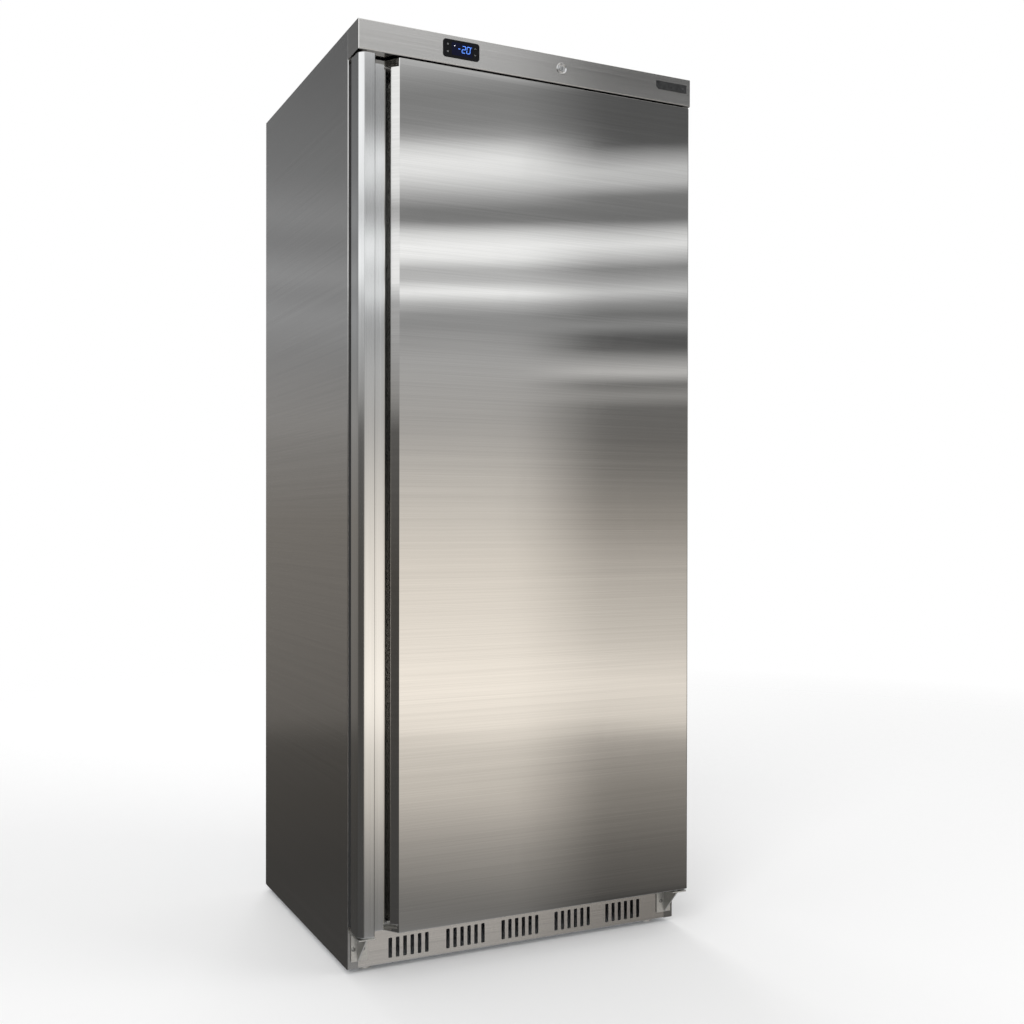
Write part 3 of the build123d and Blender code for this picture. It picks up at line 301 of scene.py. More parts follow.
add_node(tree, "ShaderNodeOutputMaterial", {0: glow.outputs[0]})
room_paint.cycles.emission_sampling = "NONE"
room.data.materials.append(room_paint)
for kind in ("camera", "diffuse", "transmission", "volume_scatter", "shadow"):
    setattr(room, "visible_" + kind, False)
print("room of", len(room.data.polygons), "cards")

# %% [markdown]
# ## White background, floor and lamps
# The world is white to the camera and to mirrors, and dimmer as a lamp, so that pale parts
# keep their colour. The floor is matt, keeps the freezer's shadow and fades out before its
# rim. Three large lamps light what doesn't mirror, and aren't mirrored themselves.

# %% White background
DAYLIGHT = 0.62
world = bpy.data.worlds.new("white_studio")
bpy.context.scene.world = world
tree = bare_tree(world)
path = add_node(tree, "ShaderNodeLightPath")
seen = maths(tree, "ADD", path.outputs["Is Camera Ray"], path.outputs["Is Glossy Ray"])
seen = maths(tree, "ADD", seen, path.outputs["Is Transmission Ray"], clamp=True)
strength = spread(tree, seen, 0.0, 1.0, DAYLIGHT, 1.0)
sky = add_node(tree, "ShaderNodeBackground", {0: (1, 1, 1, 1), 1: strength})
add_node(tree, "ShaderNodeOutputWorld", {0: sky.outputs[0]})
print("daylight at", DAYLIGHT)

# %% Pale floor
FLOOR_EDGE, FADE_START, FADE_END = 5.0, 1.6, 4.8
rim = [math.radians(angle) for angle in range(0, 360, 6)]
floor_mesh = bpy.data.meshes.new("pale_floor")
floor_mesh.from_pydata(
    [(FLOOR_EDGE * math.cos(a), FLOOR_EDGE * math.sin(a), 0) for a in rim], [], [range(len(rim))]
)
floor = add_object("pale_floor", floor_mesh)
floor_paint = bpy.data.materials.new("pale_floor_paint")
tree = bare_tree(floor_paint)
matt = add_node(tree, "ShaderNodeBsdfDiffuse", {0: (0.93, 0.93, 0.93, 1)})
clear = add_node(tree, "ShaderNodeBsdfTransparent")
spot = add_node(tree, "ShaderNodeTexCoord").outputs["Object"]
away = add_node(tree, "ShaderNodeVectorMath", {0: spot}, operation="LENGTH").outputs["Value"]
fade = spread(tree, away, FADE_START, FADE_END)
mixed = add_node(tree, "ShaderNodeMixShader", {0: fade, 1: matt.outputs[0], 2: clear.outputs[0]})
add_node(tree, "ShaderNodeOutputMaterial", {0: mixed.outputs[0]})
floor_mesh.materials.append(floor_paint)
floor.visible_glossy = False
print("floor of radius", FLOOR_EDGE)

# %% Soft lamps
LAMP_SIZE, LAMP_TARGET = 3.0, Vector((0, 0, 0.9))
LAMPS = [
    ("key_lamp", Vector((-3.2, -4.2, 4.2)), 150),
    ("fill_lamp", Vector((3.6, -3.4, 2.6)), 70),
    ("rear_lamp", Vector((0.5, 4.5, 3.5)), 90),
]
for name, place, power in LAMPS:
    light = bpy.data.lights.new(name, "AREA")
    light.shape = "SQUARE"
    light.size = LAMP_SIZE
    light.energy = power
    lamp = add_object(name, light)
    aim = (LAMP_TARGET - place).to_track_quat("-Z", "Y").to_matrix().to_4x4()
    aim.translation = place
    lamp.matrix_world = aim
    lamp.visible_glossy = False
print(len(LAMPS), "soft lamps")

# %% [markdown]
# ## Finishes shared by several materials
# Rolled and brushed sheet carries fine lines in one direction, is never quite flat, and
# takes up smears where it is handled. Each of these is a node group with named inputs that
# puts out plain values, and each material places the group with its own numbers.


# %% Group builder
def effect_group(name, inputs, outputs):
    """Empty shader node group; returns the tree, its input node and its output node."""
    group = bpy.data.node_groups.new(name, "ShaderNodeTree")
    for label, kind, default in inputs:
        socket = group.interface.new_socket(name=label, in_out="INPUT", socket_type=kind)
        socket.default_value = default
    for label, kind in outputs:
        group.interface.new_socket(name=label, in_out="OUTPUT", socket_type=kind)
    return group, group.nodes.new("NodeGroupInput"), group.nodes.new("NodeGroupOutput")


def noise(tree, place, scale=1.0, detail=2.0, roughness=0.5, distortion=0.0):
    """Noise value at a place."""
    links = {
        "Vector": place, "Scale": scale, "Detail": detail, "Roughness": roughness,
        "Distortion": distortion,
    }
    return add_node(tree, "ShaderNodeTexNoise", links).outputs[0]


def stretched(tree, scale):
    """Object coordinates times a scale on each axis."""
    spot = add_node(tree, "ShaderNodeTexCoord").outputs["Object"]
    return add_node(tree, "ShaderNodeVectorMath", {0: spot, 1: scale}, operation="MULTIPLY").outputs[0]


def use_group(tree, group, **values):
    """Places a group in a material; values are set by input name with spaces as underscores."""
    node = tree.nodes.new("ShaderNodeGroup")
    node.node_tree = group
    for key, value in values.items():
        feed(tree, node.inputs[key.replace("_", " ")], value)
    return node


print("group helpers ready")


# %% Brush lines
brush_lines, inside, out = effect_group(
    "brush_lines",
    [
        ("Along and across", "NodeSocketVector", (1.5, 1.5, 700.0)),
        ("Band share", "NodeSocketFloat", 0.08),
    ],
    [("Lines", "NodeSocketFloat"), ("Bands", "NodeSocketFloat")],
)
place = stretched(brush_lines, inside.outputs[0])
lines = noise(brush_lines, place, 1.0, 3.0, 0.75)
broad = add_node(
    brush_lines, "ShaderNodeVectorMath", {0: place, "Scale": inside.outputs[1]}, operation="SCALE"
).outputs[0]
bands = noise(brush_lines, broad, 1.0, 2.0, 0.6)
brush_lines.links.new(lines, out.inputs[0])
brush_lines.links.new(bands, out.inputs[1])
print("brush lines", len(brush_lines.nodes), "nodes")

# %% Panel waves and smears
SMEAR_BLUR = 0.18
panel_waves, inside, out = effect_group(
    "panel_waves",
    [("Waves per metre", "NodeSocketVector", (1.5, 1.5, 2.5))],
    [("Height", "NodeSocketFloat")],
)
place = stretched(panel_waves, inside.outputs[0])
panel_waves.links.new(noise(panel_waves, place, 1.0, 1.0, 0.4), out.inputs[0])

smears, inside, out = effect_group(
    "smears",
    [("Smear size", "NodeSocketVector", (9.0, 9.0, 5.0)), ("Cover", "NodeSocketFloat", 0.5)],
    [("Smear", "NodeSocketFloat")],
)
place = stretched(smears, inside.outputs[0])
cloud = noise(smears, place, 1.0, 5.0, 0.6, 0.6)
edge = maths(smears, "ADD", inside.outputs[1], SMEAR_BLUR)
smears.links.new(spread(smears, cloud, inside.outputs[1], edge), out.inputs[0])
print("panel waves", len(panel_waves.nodes), "smears", len(smears.nodes), "nodes")

# %% Mottling and grain
mottle, inside, out = effect_group(
    "mottle",
    [("Size", "NodeSocketFloat", 60.0)],
    [("Cells", "NodeSocketFloat"), ("Grain", "NodeSocketFloat")],
)
spot = add_node(mottle, "ShaderNodeTexCoord").outputs["Object"]
cells = add_node(mottle, "ShaderNodeTexVoronoi", {"Vector": spot, "Scale": inside.outputs[0]})
value = add_node(mottle, "ShaderNodeSeparateColor", {0: cells.outputs["Color"]}).outputs[0]
mottle.links.new(value, out.inputs[0])
mottle.links.new(noise(mottle, spot, inside.outputs[0], 3.0, 0.6), out.inputs[1])
print("node groups:", [group.name for group in bpy.data.node_groups])

# %% [markdown]
# ## Stainless steel
# All outer sheets are the same steel. The door is the most polished, so its bands are
# crisp from top to bottom and smeared sideways along the brush lines: that is what the
# shader's anisotropy does, with its own tangent running level round the object. The side
# panels are duller. On the header and the base the stretch is turned by a quarter, so it
# blurs them up and down. The base colour carries the slight toning that rolling leaves.


# %% Steel builder
NOISE_LOW, NOISE_HIGH = 0.3, 0.7
SMOOTHEST, ROUGHEST = 0.85, 1.1


def shader_material(name, **sockets):
    """Material with one Principled shader; the sockets that are plain numbers are set on it."""
    material = bpy.data.materials.new(name)
    material.use_nodes = True
    tree = material.node_tree
    shader = tree.nodes["Principled BSDF"]
    for key, value in sockets.items():
        shader.inputs[key.replace("_", " ")].default_value = value
    return material, tree, shader


def brushed_steel(
    name, colour, polish, stretch, across, wave=0.35, line_depth=0.012, toning=0.06, smeared=0.25
):
    """Brushed sheet. polish is its roughness, wave and line_depth are heights in millimetres."""
    material, tree, shader = shader_material(name, Metallic=1.0, Anisotropic=stretch)
    lines = use_group(tree, brush_lines, Along_and_across=across)
    waves = use_group(tree, panel_waves)
    smear = use_group(tree, smears)
    darker = tuple(part * (1 - toning) for part in colour)
    paler = tuple(min(1.0, part * (1 + toning)) for part in colour)
    tone = ramp(tree, lines.outputs["Lines"], [(NOISE_LOW, darker), (NOISE_HIGH, paler)])
    dimmed = [(NOISE_LOW, grey(1 - toning)), (NOISE_HIGH, grey(1.0))]
    band = ramp(tree, lines.outputs["Bands"], dimmed)
    tone = blend_colours(tree, 1.0, tone, band, "MULTIPLY")
    tree.links.new(tone, shader.inputs["Base Color"])
    smoothest, roughest = polish * SMOOTHEST, polish * ROUGHEST
    rough = spread(tree, lines.outputs["Lines"], NOISE_LOW, NOISE_HIGH, smoothest, roughest)
    rough = maths(tree, "MULTIPLY_ADD", smear.outputs["Smear"], polish * smeared, rough)
    tree.links.new(rough, shader.inputs["Roughness"])
    swell = add_node(
        tree, "ShaderNodeBump", {"Distance": wave * MM, "Height": waves.outputs["Height"]}
    )
    scratch = add_node(
        tree,
        "ShaderNodeBump",
        {"Distance": line_depth * MM, "Height": lines.outputs["Lines"], "Normal": swell.outputs[0]},
    )
    tree.links.new(scratch.outputs[0], shader.inputs["Normal"])
    return material


print("steel builder ready")

# %% Six steels
LEVEL_LINES = (1.6, 1.6, 800.0)
QUARTER_TURN = 0.25
steel = (0.60, 0.59, 0.57)
door_steel = brushed_steel("door_steel", steel, 0.05, 1.0, LEVEL_LINES, wave=0.5, line_depth=0.001)
side_steel = brushed_steel(
    "side_steel", (0.60, 0.59, 0.575), 0.15, 0.85, LEVEL_LINES, wave=0.5, line_depth=0.001, smeared=0.06
)
header_steel = brushed_steel(
    "header_steel", (0.66, 0.645, 0.62), 0.15, 0.5, LEVEL_LINES, wave=0.1, line_depth=0.004, smeared=0.0
)
base_steel = brushed_steel(
    "base_steel", (0.68, 0.66, 0.635), 0.21, 0.55, LEVEL_LINES, wave=0.1, line_depth=0.004, smeared=0.0
)
for duller in (header_steel, base_steel):
    stretch_turn = duller.node_tree.nodes["Principled BSDF"].inputs["Anisotropic Rotation"]
    stretch_turn.default_value = QUARTER_TURN
top_steel = brushed_steel("top_steel", steel, 0.28, 0.2, (1.6, 800.0, 800.0), wave=0.4)
handle_steel = brushed_steel(
    "handle_steel", (0.66, 0.66, 0.65), 0.11, 0.7, (900.0, 900.0, 2.0), wave=0.05, line_depth=0.004
)
print([material.name for material in bpy.data.materials if "steel" in material.name])

# %% [markdown]
# ## Other finishes
# Inside and behind there is zinc coated sheet with its crystals, cast and turned plated
# steel, white moulded liner, black plastic, rubber and foam. None of them is one flat
# colour: each gets its grain in colour, roughness and relief.


# %% Finish builder
SMEAR_TINT, SMEAR_DULLS = 0.25, 0.05
GRAIN_LOW, GRAIN_HIGH, GRAIN_DULLS = 0.35, 0.65, 0.12


def grained(name, colour, other, size, rough, relief, metal=0.0, use_cells=False, **sockets):
    """Finish between two colours, with its grain in roughness and relief (millimetres)."""
    material, tree, shader = shader_material(name, Metallic=metal, **sockets)
    grain = use_group(tree, mottle, Size=size)
    smear = use_group(tree, smears, Smear_size=(14.0, 14.0, 11.0), Cover=0.52)
    pattern = grain.outputs["Cells" if use_cells else "Grain"]
    low, high = (0.0, 1.0) if use_cells else (GRAIN_LOW, GRAIN_HIGH)
    tone = ramp(tree, pattern, [(low, colour), (high, other)])
    tint = maths(tree, "MULTIPLY", smear.outputs[0], SMEAR_TINT)
    dull = blend_colours(tree, tint, tone, (*other, 1.0))
    tree.links.new(dull, shader.inputs["Base Color"])
    smoothest, roughest = rough * (1 - GRAIN_DULLS), min(1.0, rough * (1 + GRAIN_DULLS))
    value = spread(tree, pattern, low, high, smoothest, roughest)
    value = maths(tree, "MULTIPLY_ADD", smear.outputs[0], SMEAR_DULLS, value, clamp=True)
    tree.links.new(value, shader.inputs["Roughness"])
    links = {"Distance": relief * MM, "Height": grain.outputs["Grain"]}
    bump = add_node(tree, "ShaderNodeBump", links)
    tree.links.new(bump.outputs[0], shader.inputs["Normal"])
    return material


print("finish builder ready")

# %% Plain finishes
galvanised = grained(
    "galvanised_sheet", (0.60, 0.62, 0.64), (0.70, 0.72, 0.74), 90, 0.42, 0.02, 0.55, use_cells=True
)
plated = grained("plated_steel", (0.70, 0.70, 0.69), (0.76, 0.76, 0.75), 220, 0.20, 0.02, 1.0)
zinc = grained("zinc_steel", (0.58, 0.58, 0.56), (0.70, 0.69, 0.66), 300, 0.42, 0.02, 1.0)
liner_white = grained("liner_white", (0.88, 0.89, 0.89), (0.92, 0.93, 0.93), 500, 0.32, 0.03)
rubber = grained("black_rubber", (0.022, 0.022, 0.022), (0.04, 0.04, 0.04), 900, 0.62, 0.04)
moulded = grained(
    "black_plastic", (0.006, 0.006, 0.007), (0.012, 0.012, 0.013), 1400, 0.6, 0.02, Specular_IOR_Level=0.06
)
foam = grained("injected_foam", (0.84, 0.78, 0.56), (0.92, 0.88, 0.70), 260, 0.9, 0.6)
tube_paint = grained("shelf_coating", (0.84, 0.85, 0.86), (0.9, 0.91, 0.92), 180, 0.36, 0.03)
nylon = grained("grey_nylon", (0.22, 0.22, 0.23), (0.29, 0.29, 0.30), 400, 0.55, 0.03)
enamel = grained("black_enamel", (0.015, 0.015, 0.015), (0.03, 0.03, 0.03), 160, 0.22, 0.03)
fins = grained("aluminium_fins", (0.66, 0.67, 0.68), (0.76, 0.77, 0.78), 200, 0.34, 0.02, 1.0)
fan_metal = grained("fan_aluminium", (0.72, 0.73, 0.74), (0.8, 0.81, 0.82), 120, 0.3, 0.02, 1.0)
lock_chrome = grained("lock_chrome", (0.62, 0.62, 0.62), (0.68, 0.68, 0.67), 240, 0.13, 0.01, 1.0)
# The screws' steel is darker than the plate they sit on: partly their own finish, partly painted shade
# round the heads.
screw_steel = grained("screw_steel", (0.30, 0.30, 0.29), (0.40, 0.39, 0.37), 500, 0.34, 0.02, 1.0)
copper = grained("copper_tube", (0.70, 0.37, 0.22), (0.78, 0.47, 0.33), 70, 0.28, 0.02, 1.0)
glass = grained(
    "display_glass", (0.001, 0.0015, 0.012), (0.002, 0.003, 0.02), 300, 0.12, 0.002, Specular_IOR_Level=0.15
)
print(len(bpy.data.materials), "materials")

# %% [markdown]
# ## Finishes on the frame's own solids
# A solid whose shape is right stays and only takes a better finish. The record names the
# finish of each solid; outer sheets that differ in polish are named one by one.

# %% Paint the solids
BY_SLOT = {
    "brushed_stainless": door_steel,
    "polished_stainless": handle_steel,
    "plated_steel": plated,
    "galvanised_sheet": galvanised,
    "foam": foam,
    "white_plastic": liner_white,
    "black_rubber": rubber,
    "coated_tube": tube_paint,
    "black_plastic": moulded,
    "display_glass": glass,
    "zinc_steel": zinc,
    "grey_nylon": nylon,
    "black_enamel": enamel,
    "aluminium_fins": fins,
    "fan_aluminium": fan_metal,
    "copper": copper,
}
BY_NODE = {
    "side_panel_left": side_steel,
    "side_panel_right": side_steel,
    "header_fascia": header_steel,
    "grille_panel": base_steel,
    "front_frame": base_steel,
    "top_panel": top_steel,
    "badge_plate": enamel,
    "upper_hinge_bracket": zinc,
    "lower_hinge_bracket": zinc,
    "left_door_bracket": zinc,
}
slots = {part["node"]: part["material_slot"] for part in frame["record"]["subparts"]}
for name, solid in nodes.items():
    finish = BY_NODE.get(name, BY_SLOT[slots[name]])
    if solid.material_slots:
        for place in solid.material_slots:
            place.material = finish
    else:
        solid.data.materials.append(finish)
print("painted", len(nodes), "solids")

# %% [markdown]
# ## Door and handle sheets
# The door is one folded sheet, and the handle a second folded strip that lies in its edge.
# In plan both follow one line: up the left side, round the corner, across the lip, back
# under it and along the floor of the finger groove, where the two sheets meet. The door's
# own sheet then rises steeply out of the groove, breaks to a slanted flank and runs across
# the front to the right side. Each corner of the line is turned into an arc. The line is
# drawn again slightly inward to round the top and bottom folds, a Solidify modifier gives
# the sheet its thickness, and cutters open the pockets for the hinge bushes and the lock.

# %% Corners of the door's plan line
door_low, door_high = box_mm("door_skin")
JOINT_X, DOOR_FACE, DOOR_LOW = door_low
DOOR_SIDE, DOOR_BACK, DOOR_TOP = door_high
JOINT_GAP = 0.3
LIP_END, LIP_BACK = -352.8, -336.5
GROOVE_LEFT, GROOVE_FLOOR = -373.5, -315.5
# Corners in plan: x, y and bend radius, negative where the sheet turns inward
HANDLE_CORNERS = [
    (-DOOR_SIDE, DOOR_BACK, 0), (-DOOR_SIDE, DOOR_FACE, 16), (LIP_END, DOOR_FACE, 2),
    (LIP_END, LIP_BACK, 2), (GROOVE_LEFT, LIP_BACK, -2.5), (GROOVE_LEFT, GROOVE_FLOOR, -2.5),
    (JOINT_X - JOINT_GAP, GROOVE_FLOOR, 0),
]
FRONT_CORNERS = [
    (JOINT_X, GROOVE_FLOOR, 0), (-321.8, GROOVE_FLOOR, -0.6), (-316.0, -331.5, 2.0),
    (-302.5, DOOR_FACE, 2.5), (DOOR_SIDE, DOOR_FACE, 6), (DOOR_SIDE, DOOR_BACK, 0),
]
FRONT_END_CORNERS = [
    (JOINT_X, GROOVE_FLOOR, 0), (-321.8, -317.5, 0.6), (-313.0, -330.2, 2.0), *FRONT_CORNERS[3:]
]
print("door from", door_low, "to", door_high)


# %% Rounded plan line
ARC_STEPS, LEAST_RADIUS = 12, 0.05


def rounded_line(corners, inset=0.0):
    """Points along a plan line with an arc at each corner, drawn inset to its inner side.

    A radius is positive where the sheet turns outward and negative where it turns inward.
    """
    flat = [Vector((x, y)) for x, y, _ in corners]
    moved = []
    for index, point in enumerate(flat):
        sides = []
        for start, end in ((index - 1, index), (index, index + 1)):
            if start >= 0 and end < len(flat):
                run = (flat[end] - flat[start]).normalized()
                sides.append(Vector((-run.y, run.x)))
        shift = sides[0] if len(sides) == 1 else (sides[0] + sides[1]) / (1 + sides[0].dot(sides[1]))
        moved.append(point + shift * inset)
    points = [moved[0]]
    for index in range(1, len(corners) - 1):
        turn = corners[index][2]
        radius = max(LEAST_RADIUS, abs(turn) - inset if turn > 0 else abs(turn) + inset)
        before = (moved[index - 1] - moved[index]).normalized()
        after = (moved[index + 1] - moved[index]).normalized()
        half_angle = before.angle(after) / 2
        reach = radius / math.tan(half_angle)
        centre = moved[index] + (before + after).normalized() * radius / math.sin(half_angle)
        start = moved[index] + before * reach - centre
        end = moved[index] + after * reach - centre
        sweep = start.angle(end)
        for step in range(ARC_STEPS + 1):
            share = step / ARC_STEPS
            mix = start * math.sin((1 - share) * sweep) + end * math.sin(share * sweep)
            points.append(centre + mix / math.sin(sweep))
    points.append(moved[-1])
    return points


print("handle's line", len(rounded_line(HANDLE_CORNERS)), "points")


# %% Piece helpers
def new_piece(name, bm, finish, smooth_angle=30):
    """Object from a bmesh in millimetres, with edges sharper than the angle kept sharp."""
    data = bpy.data.meshes.new(name)
    bm.to_mesh(data)
    bm.free()
    for vertex in data.vertices:
        vertex.co *= MM
    if finish:
        data.materials.append(finish)
    data.shade_smooth()
    data.set_sharp_from_angle(angle=math.radians(smooth_angle))
    return add_object(name, data)


def made_plain(piece):
    """Applies the piece's modifiers to its mesh."""
    graph = bpy.context.evaluated_depsgraph_get()
    data = bpy.data.meshes.new_from_object(piece.evaluated_get(graph))
    old = piece.data
    piece.modifiers.clear()
    piece.data = data
    data.name = piece.name
    bpy.data.meshes.remove(old)
    return piece


def even_normals(piece):
    """Lets wide flat faces keep their own normal beside narrow bends, so that they mirror flat."""
    weighted = piece.modifiers.new("even_normals", "WEIGHTED_NORMAL")
    weighted.weight = 100
    weighted.keep_sharp = True
    return made_plain(piece)


print("piece helpers ready")


# %% Cutting helpers
def cut_away(piece, cutters):
    """Cuts closed meshes out of a piece and removes them."""
    for cutter in cutters:
        cut = piece.modifiers.new("cut_" + cutter.name, "BOOLEAN")
        cut.object = cutter
        cut.solver = "EXACT"
    made_plain(piece)
    for cutter in cutters:
        bpy.data.objects.remove(cutter)
    return piece


def block(name, low, high):
    """Closed box between two corners in millimetres."""
    bm = bmesh.new()
    bmesh.ops.create_cube(bm, size=1.0)
    for vertex in bm.verts:
        vertex.co = [a + (b - a) * (part + 0.5) for a, b, part in zip(low, high, vertex.co)]
    return new_piece(name, bm, None)


def pin(name, centre, radius, low, high, steps=48):
    """Closed upright cylinder in millimetres."""
    bm = bmesh.new()
    bmesh.ops.create_cone(
        bm, cap_ends=True, segments=steps, radius1=radius, radius2=radius, depth=high - low,
        matrix=Matrix.Translation((*centre, (low + high) / 2)),
    )
    return new_piece(name, bm, None)


print("cutting helpers ready")


# %% Folded sheet
CLOSED_END, END_SLOPE, SHEET = 16.0, 1.5, 0.9
SHARP_FROM = 30


def folded_sheet(name, corners, end_corners, back_corner, finish, pockets=(), fold=1.6, fold_steps=4):
    """Folded sheet along a plan line, with its rounded ends turned in at top and bottom."""
    turns = [math.pi / 2 * step / fold_steps for step in range(fold_steps + 1)]
    lower = [(fold * (1 - math.cos(a)), fold * (1 - math.sin(a)), end_corners) for a in turns]
    lower += [(CLOSED_END, 0.0, end_corners), (CLOSED_END + END_SLOPE, 0.0, corners)]
    upper = [(DOOR_TOP - height, inset, line) for height, inset, line in reversed(lower)]
    lower = [(DOOR_LOW + height, inset, line) for height, inset, line in lower]
    bm = bmesh.new()
    rings = []
    for height, inset, line in lower + upper:
        rings.append([bm.verts.new((x, y, height)) for x, y in rounded_line(line, inset)])
    for below, above in zip(rings, rings[1:]):
        for first, second, third, fourth in zip(below, below[1:], above[1:], above):
            bm.faces.new((first, second, third, fourth))
    for ring, height in ((rings[0], DOOR_LOW), (rings[-1], DOOR_TOP)):
        bm.faces.new(ring + [bm.verts.new((*back_corner, height))])
    bmesh.ops.recalc_face_normals(bm, faces=bm.faces)
    sheet = new_piece(name, bm, finish)
    wall = sheet.modifiers.new("wall", "SOLIDIFY")
    wall.thickness = SHEET * MM
    wall.offset = -1.0
    wall.use_even_offset = True
    made_plain(sheet)
    cut_away(sheet, pockets)
    sheet.data.set_sharp_from_angle(angle=math.radians(SHARP_FROM))
    return even_normals(sheet)


print("sheet of", SHEET, "mm")

# %% Fold the door and its handle
CUT, LOW_POCKET, HIGH_POCKET = 2.0, 12.0, 11.0
hinge_low, hinge_high = box_mm("lower_hinge_bush")
hinge = (middle(hinge_low, hinge_high, 0), middle(hinge_low, hinge_high, 1))
bush_low = pin("bush_low", hinge, LOW_POCKET, DOOR_LOW - CUT, DOOR_LOW + CUT)
bush_high = pin("bush_high", hinge, HIGH_POCKET, DOOR_TOP - CUT, DOOR_TOP + CUT)
keeper_low, keeper_high = box_mm("lock_keeper")
keeper_hole = block(
    "keeper_hole", (*keeper_low[:2], DOOR_TOP - CUT), (*keeper_high[:2], DOOR_TOP + CUT)
)
handle_sheet = folded_sheet(
    "handle_sheet", HANDLE_CORNERS, HANDLE_CORNERS, (JOINT_X - JOINT_GAP, DOOR_BACK), handle_steel
)
door_sheet = folded_sheet(
    "door_sheet", FRONT_CORNERS, FRONT_END_CORNERS, (JOINT_X, DOOR_BACK), door_steel,
    [bush_low, bush_high, keeper_hole],
)
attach(handle_sheet, "door")
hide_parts("handle_profile")
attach(door_sheet, "door")
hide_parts("door_skin")
print("handle", len(handle_sheet.data.polygons), "door", len(door_sheet.data.polygons), "faces")

# %% [markdown]
# ## Controller display and keys
# The controller's window is a dark pane over a lit figure. A figure can light up to seven
# bars, the way the real display does, and each bar is a thin six sided tile that glows and
# leans a little. The pane lies slightly back in its frame, so the tiles stay inside the
# frame's face. The signs on the keys are printed, so they are a mask in the keys' finish.


# %% Display finishes
def lit_finish(name, dim, full):
    """Finish that glows between two colours."""
    material, tree, shader = shader_material(name, Roughness=0.4, Emission_Strength=1.0)
    grain = use_group(tree, mottle, Size=2400)
    glow = ramp(tree, grain.outputs["Grain"], [(0.3, dim), (0.6, full)])
    tree.links.new(glow, shader.inputs["Emission Color"])
    tree.links.new(glow, shader.inputs["Base Color"])
    return material


lit = lit_finish("lit_figure", (0.05, 0.17, 1.0), (0.14, 0.36, 1.0))
dot_mark = lit_finish("running_dot", (0.75, 0.85, 1.0), (1.0, 1.0, 1.0))
print("two lit finishes")

# %% Printed keys
CHEVRON, STROKE, STROKE_APART, SIGN_REACH = 0.35, 0.3, 0.9, 2.1
controller_low, controller_high = box_mm("controller_housing")
CONTROLLER_X = middle(controller_low, controller_high, 0)
CONTROLS_Z = middle(controller_low, controller_high, 2)
key_low, key_high = box_mm("key_upper_right")
KEY_X = middle(key_low, key_high, 0) - CONTROLLER_X
KEY_Z = middle(key_low, key_high, 2) - CONTROLS_Z
key_print, tree, shader = shader_material("printed_keys", Roughness=0.6, Specular_IOR_Level=0.06)


def distance(tree, value, other):
    """How far apart two values are."""
    return maths(tree, "ABSOLUTE", maths(tree, "SUBTRACT", value, other))


spot = add_node(tree, "ShaderNodeTexCoord").outputs["Object"]
parts = add_node(tree, "ShaderNodeSeparateXYZ", {0: spot})
beside = maths(tree, "SUBTRACT", parts.outputs[0], CONTROLLER_X * MM)
across = distance(tree, maths(tree, "ABSOLUTE", beside), KEY_X * MM)
over = maths(tree, "SUBTRACT", distance(tree, parts.outputs[2], CONTROLS_Z * MM), KEY_Z * MM)
chevron = maths(tree, "ABSOLUTE", maths(tree, "ADD", over, across))
chevron = maths(tree, "LESS_THAN", chevron, CHEVRON * MM)
strokes = distance(tree, maths(tree, "ABSOLUTE", over), STROKE_APART * MM)
strokes = maths(tree, "LESS_THAN", strokes, STROKE * MM)
right_side = maths(tree, "GREATER_THAN", beside, 0.0)
sign = maths(tree, "MULTIPLY_ADD", maths(tree, "SUBTRACT", chevron, strokes), right_side, strokes)
sign = maths(tree, "MULTIPLY", sign, maths(tree, "LESS_THAN", across, SIGN_REACH * MM))
key_grain = use_group(tree, mottle, Size=1600)
stops = [(GRAIN_LOW, grey(0.006)), (GRAIN_HIGH, grey(0.012))]
dark = ramp(tree, key_grain.outputs["Grain"], stops)
printed = blend_colours(tree, sign, dark, (0.30, 0.30, 0.31, 1.0))
tree.links.new(printed, shader.inputs["Base Color"])
for name in ("key_upper_left", "key_lower_left", "key_upper_right", "key_lower_right"):
    for place in nodes[name].material_slots:
        place.material = key_print
print("keys", KEY_X, "beside and", KEY_Z, "over the controller's middle")

# %% Tiles of the display
pane_low, pane_high = box_mm("display_window")
PANE_FACE = pane_low[1] + 0.3
TILE_FRONT, TILE_BACK = PANE_FACE - 0.15, PANE_FACE + 0.2


def tile(bm, start, end, width, lean=0.0):
    """Six sided bar between two points of the window, leaning with its height."""
    run = (end - start).normalized()
    side = Vector((-run.y, run.x)) * width / 2
    outline = [
        start, start + run * width / 2 + side, end - run * width / 2 + side,
        end, end - run * width / 2 - side, start + run * width / 2 - side,
    ]
    front, back = (
        [bm.verts.new((p.x + (p.y - CONTROLS_Z) * lean, depth, p.y)) for p in outline]
        for depth in (TILE_FRONT, TILE_BACK)
    )
    join_rings(bm, back, front)
    bm.faces.new(front[::-1])
    bm.faces.new(back)


def tiles_piece(name, bm, finish):
    """Piece from tiles, with its faces turned outwards."""
    bmesh.ops.recalc_face_normals(bm, faces=bm.faces)
    return new_piece(name, bm, finish)


print("tiles between", TILE_FRONT, "and", TILE_BACK)

# %% Lit figures
BAR, BAR_GAP, LEAN, RAISED = 0.9, 0.25, 0.10, 1.0
FIGURE_WIDE, FIGURE_HALF = 7.2, 6.7
SIGN_WIDE = 0.72 * FIGURE_WIDE
# Two ends of each bar, in widths and half heights of a figure
CORNER_BARS = {
    "a": ((0, 2), (1, 2)), "b": ((1, 1), (1, 2)), "c": ((1, 0), (1, 1)), "d": ((0, 0), (1, 0)),
    "e": ((0, 0), (0, 1)), "f": ((0, 1), (0, 2)), "g": ((0, 1), (1, 1)),
}
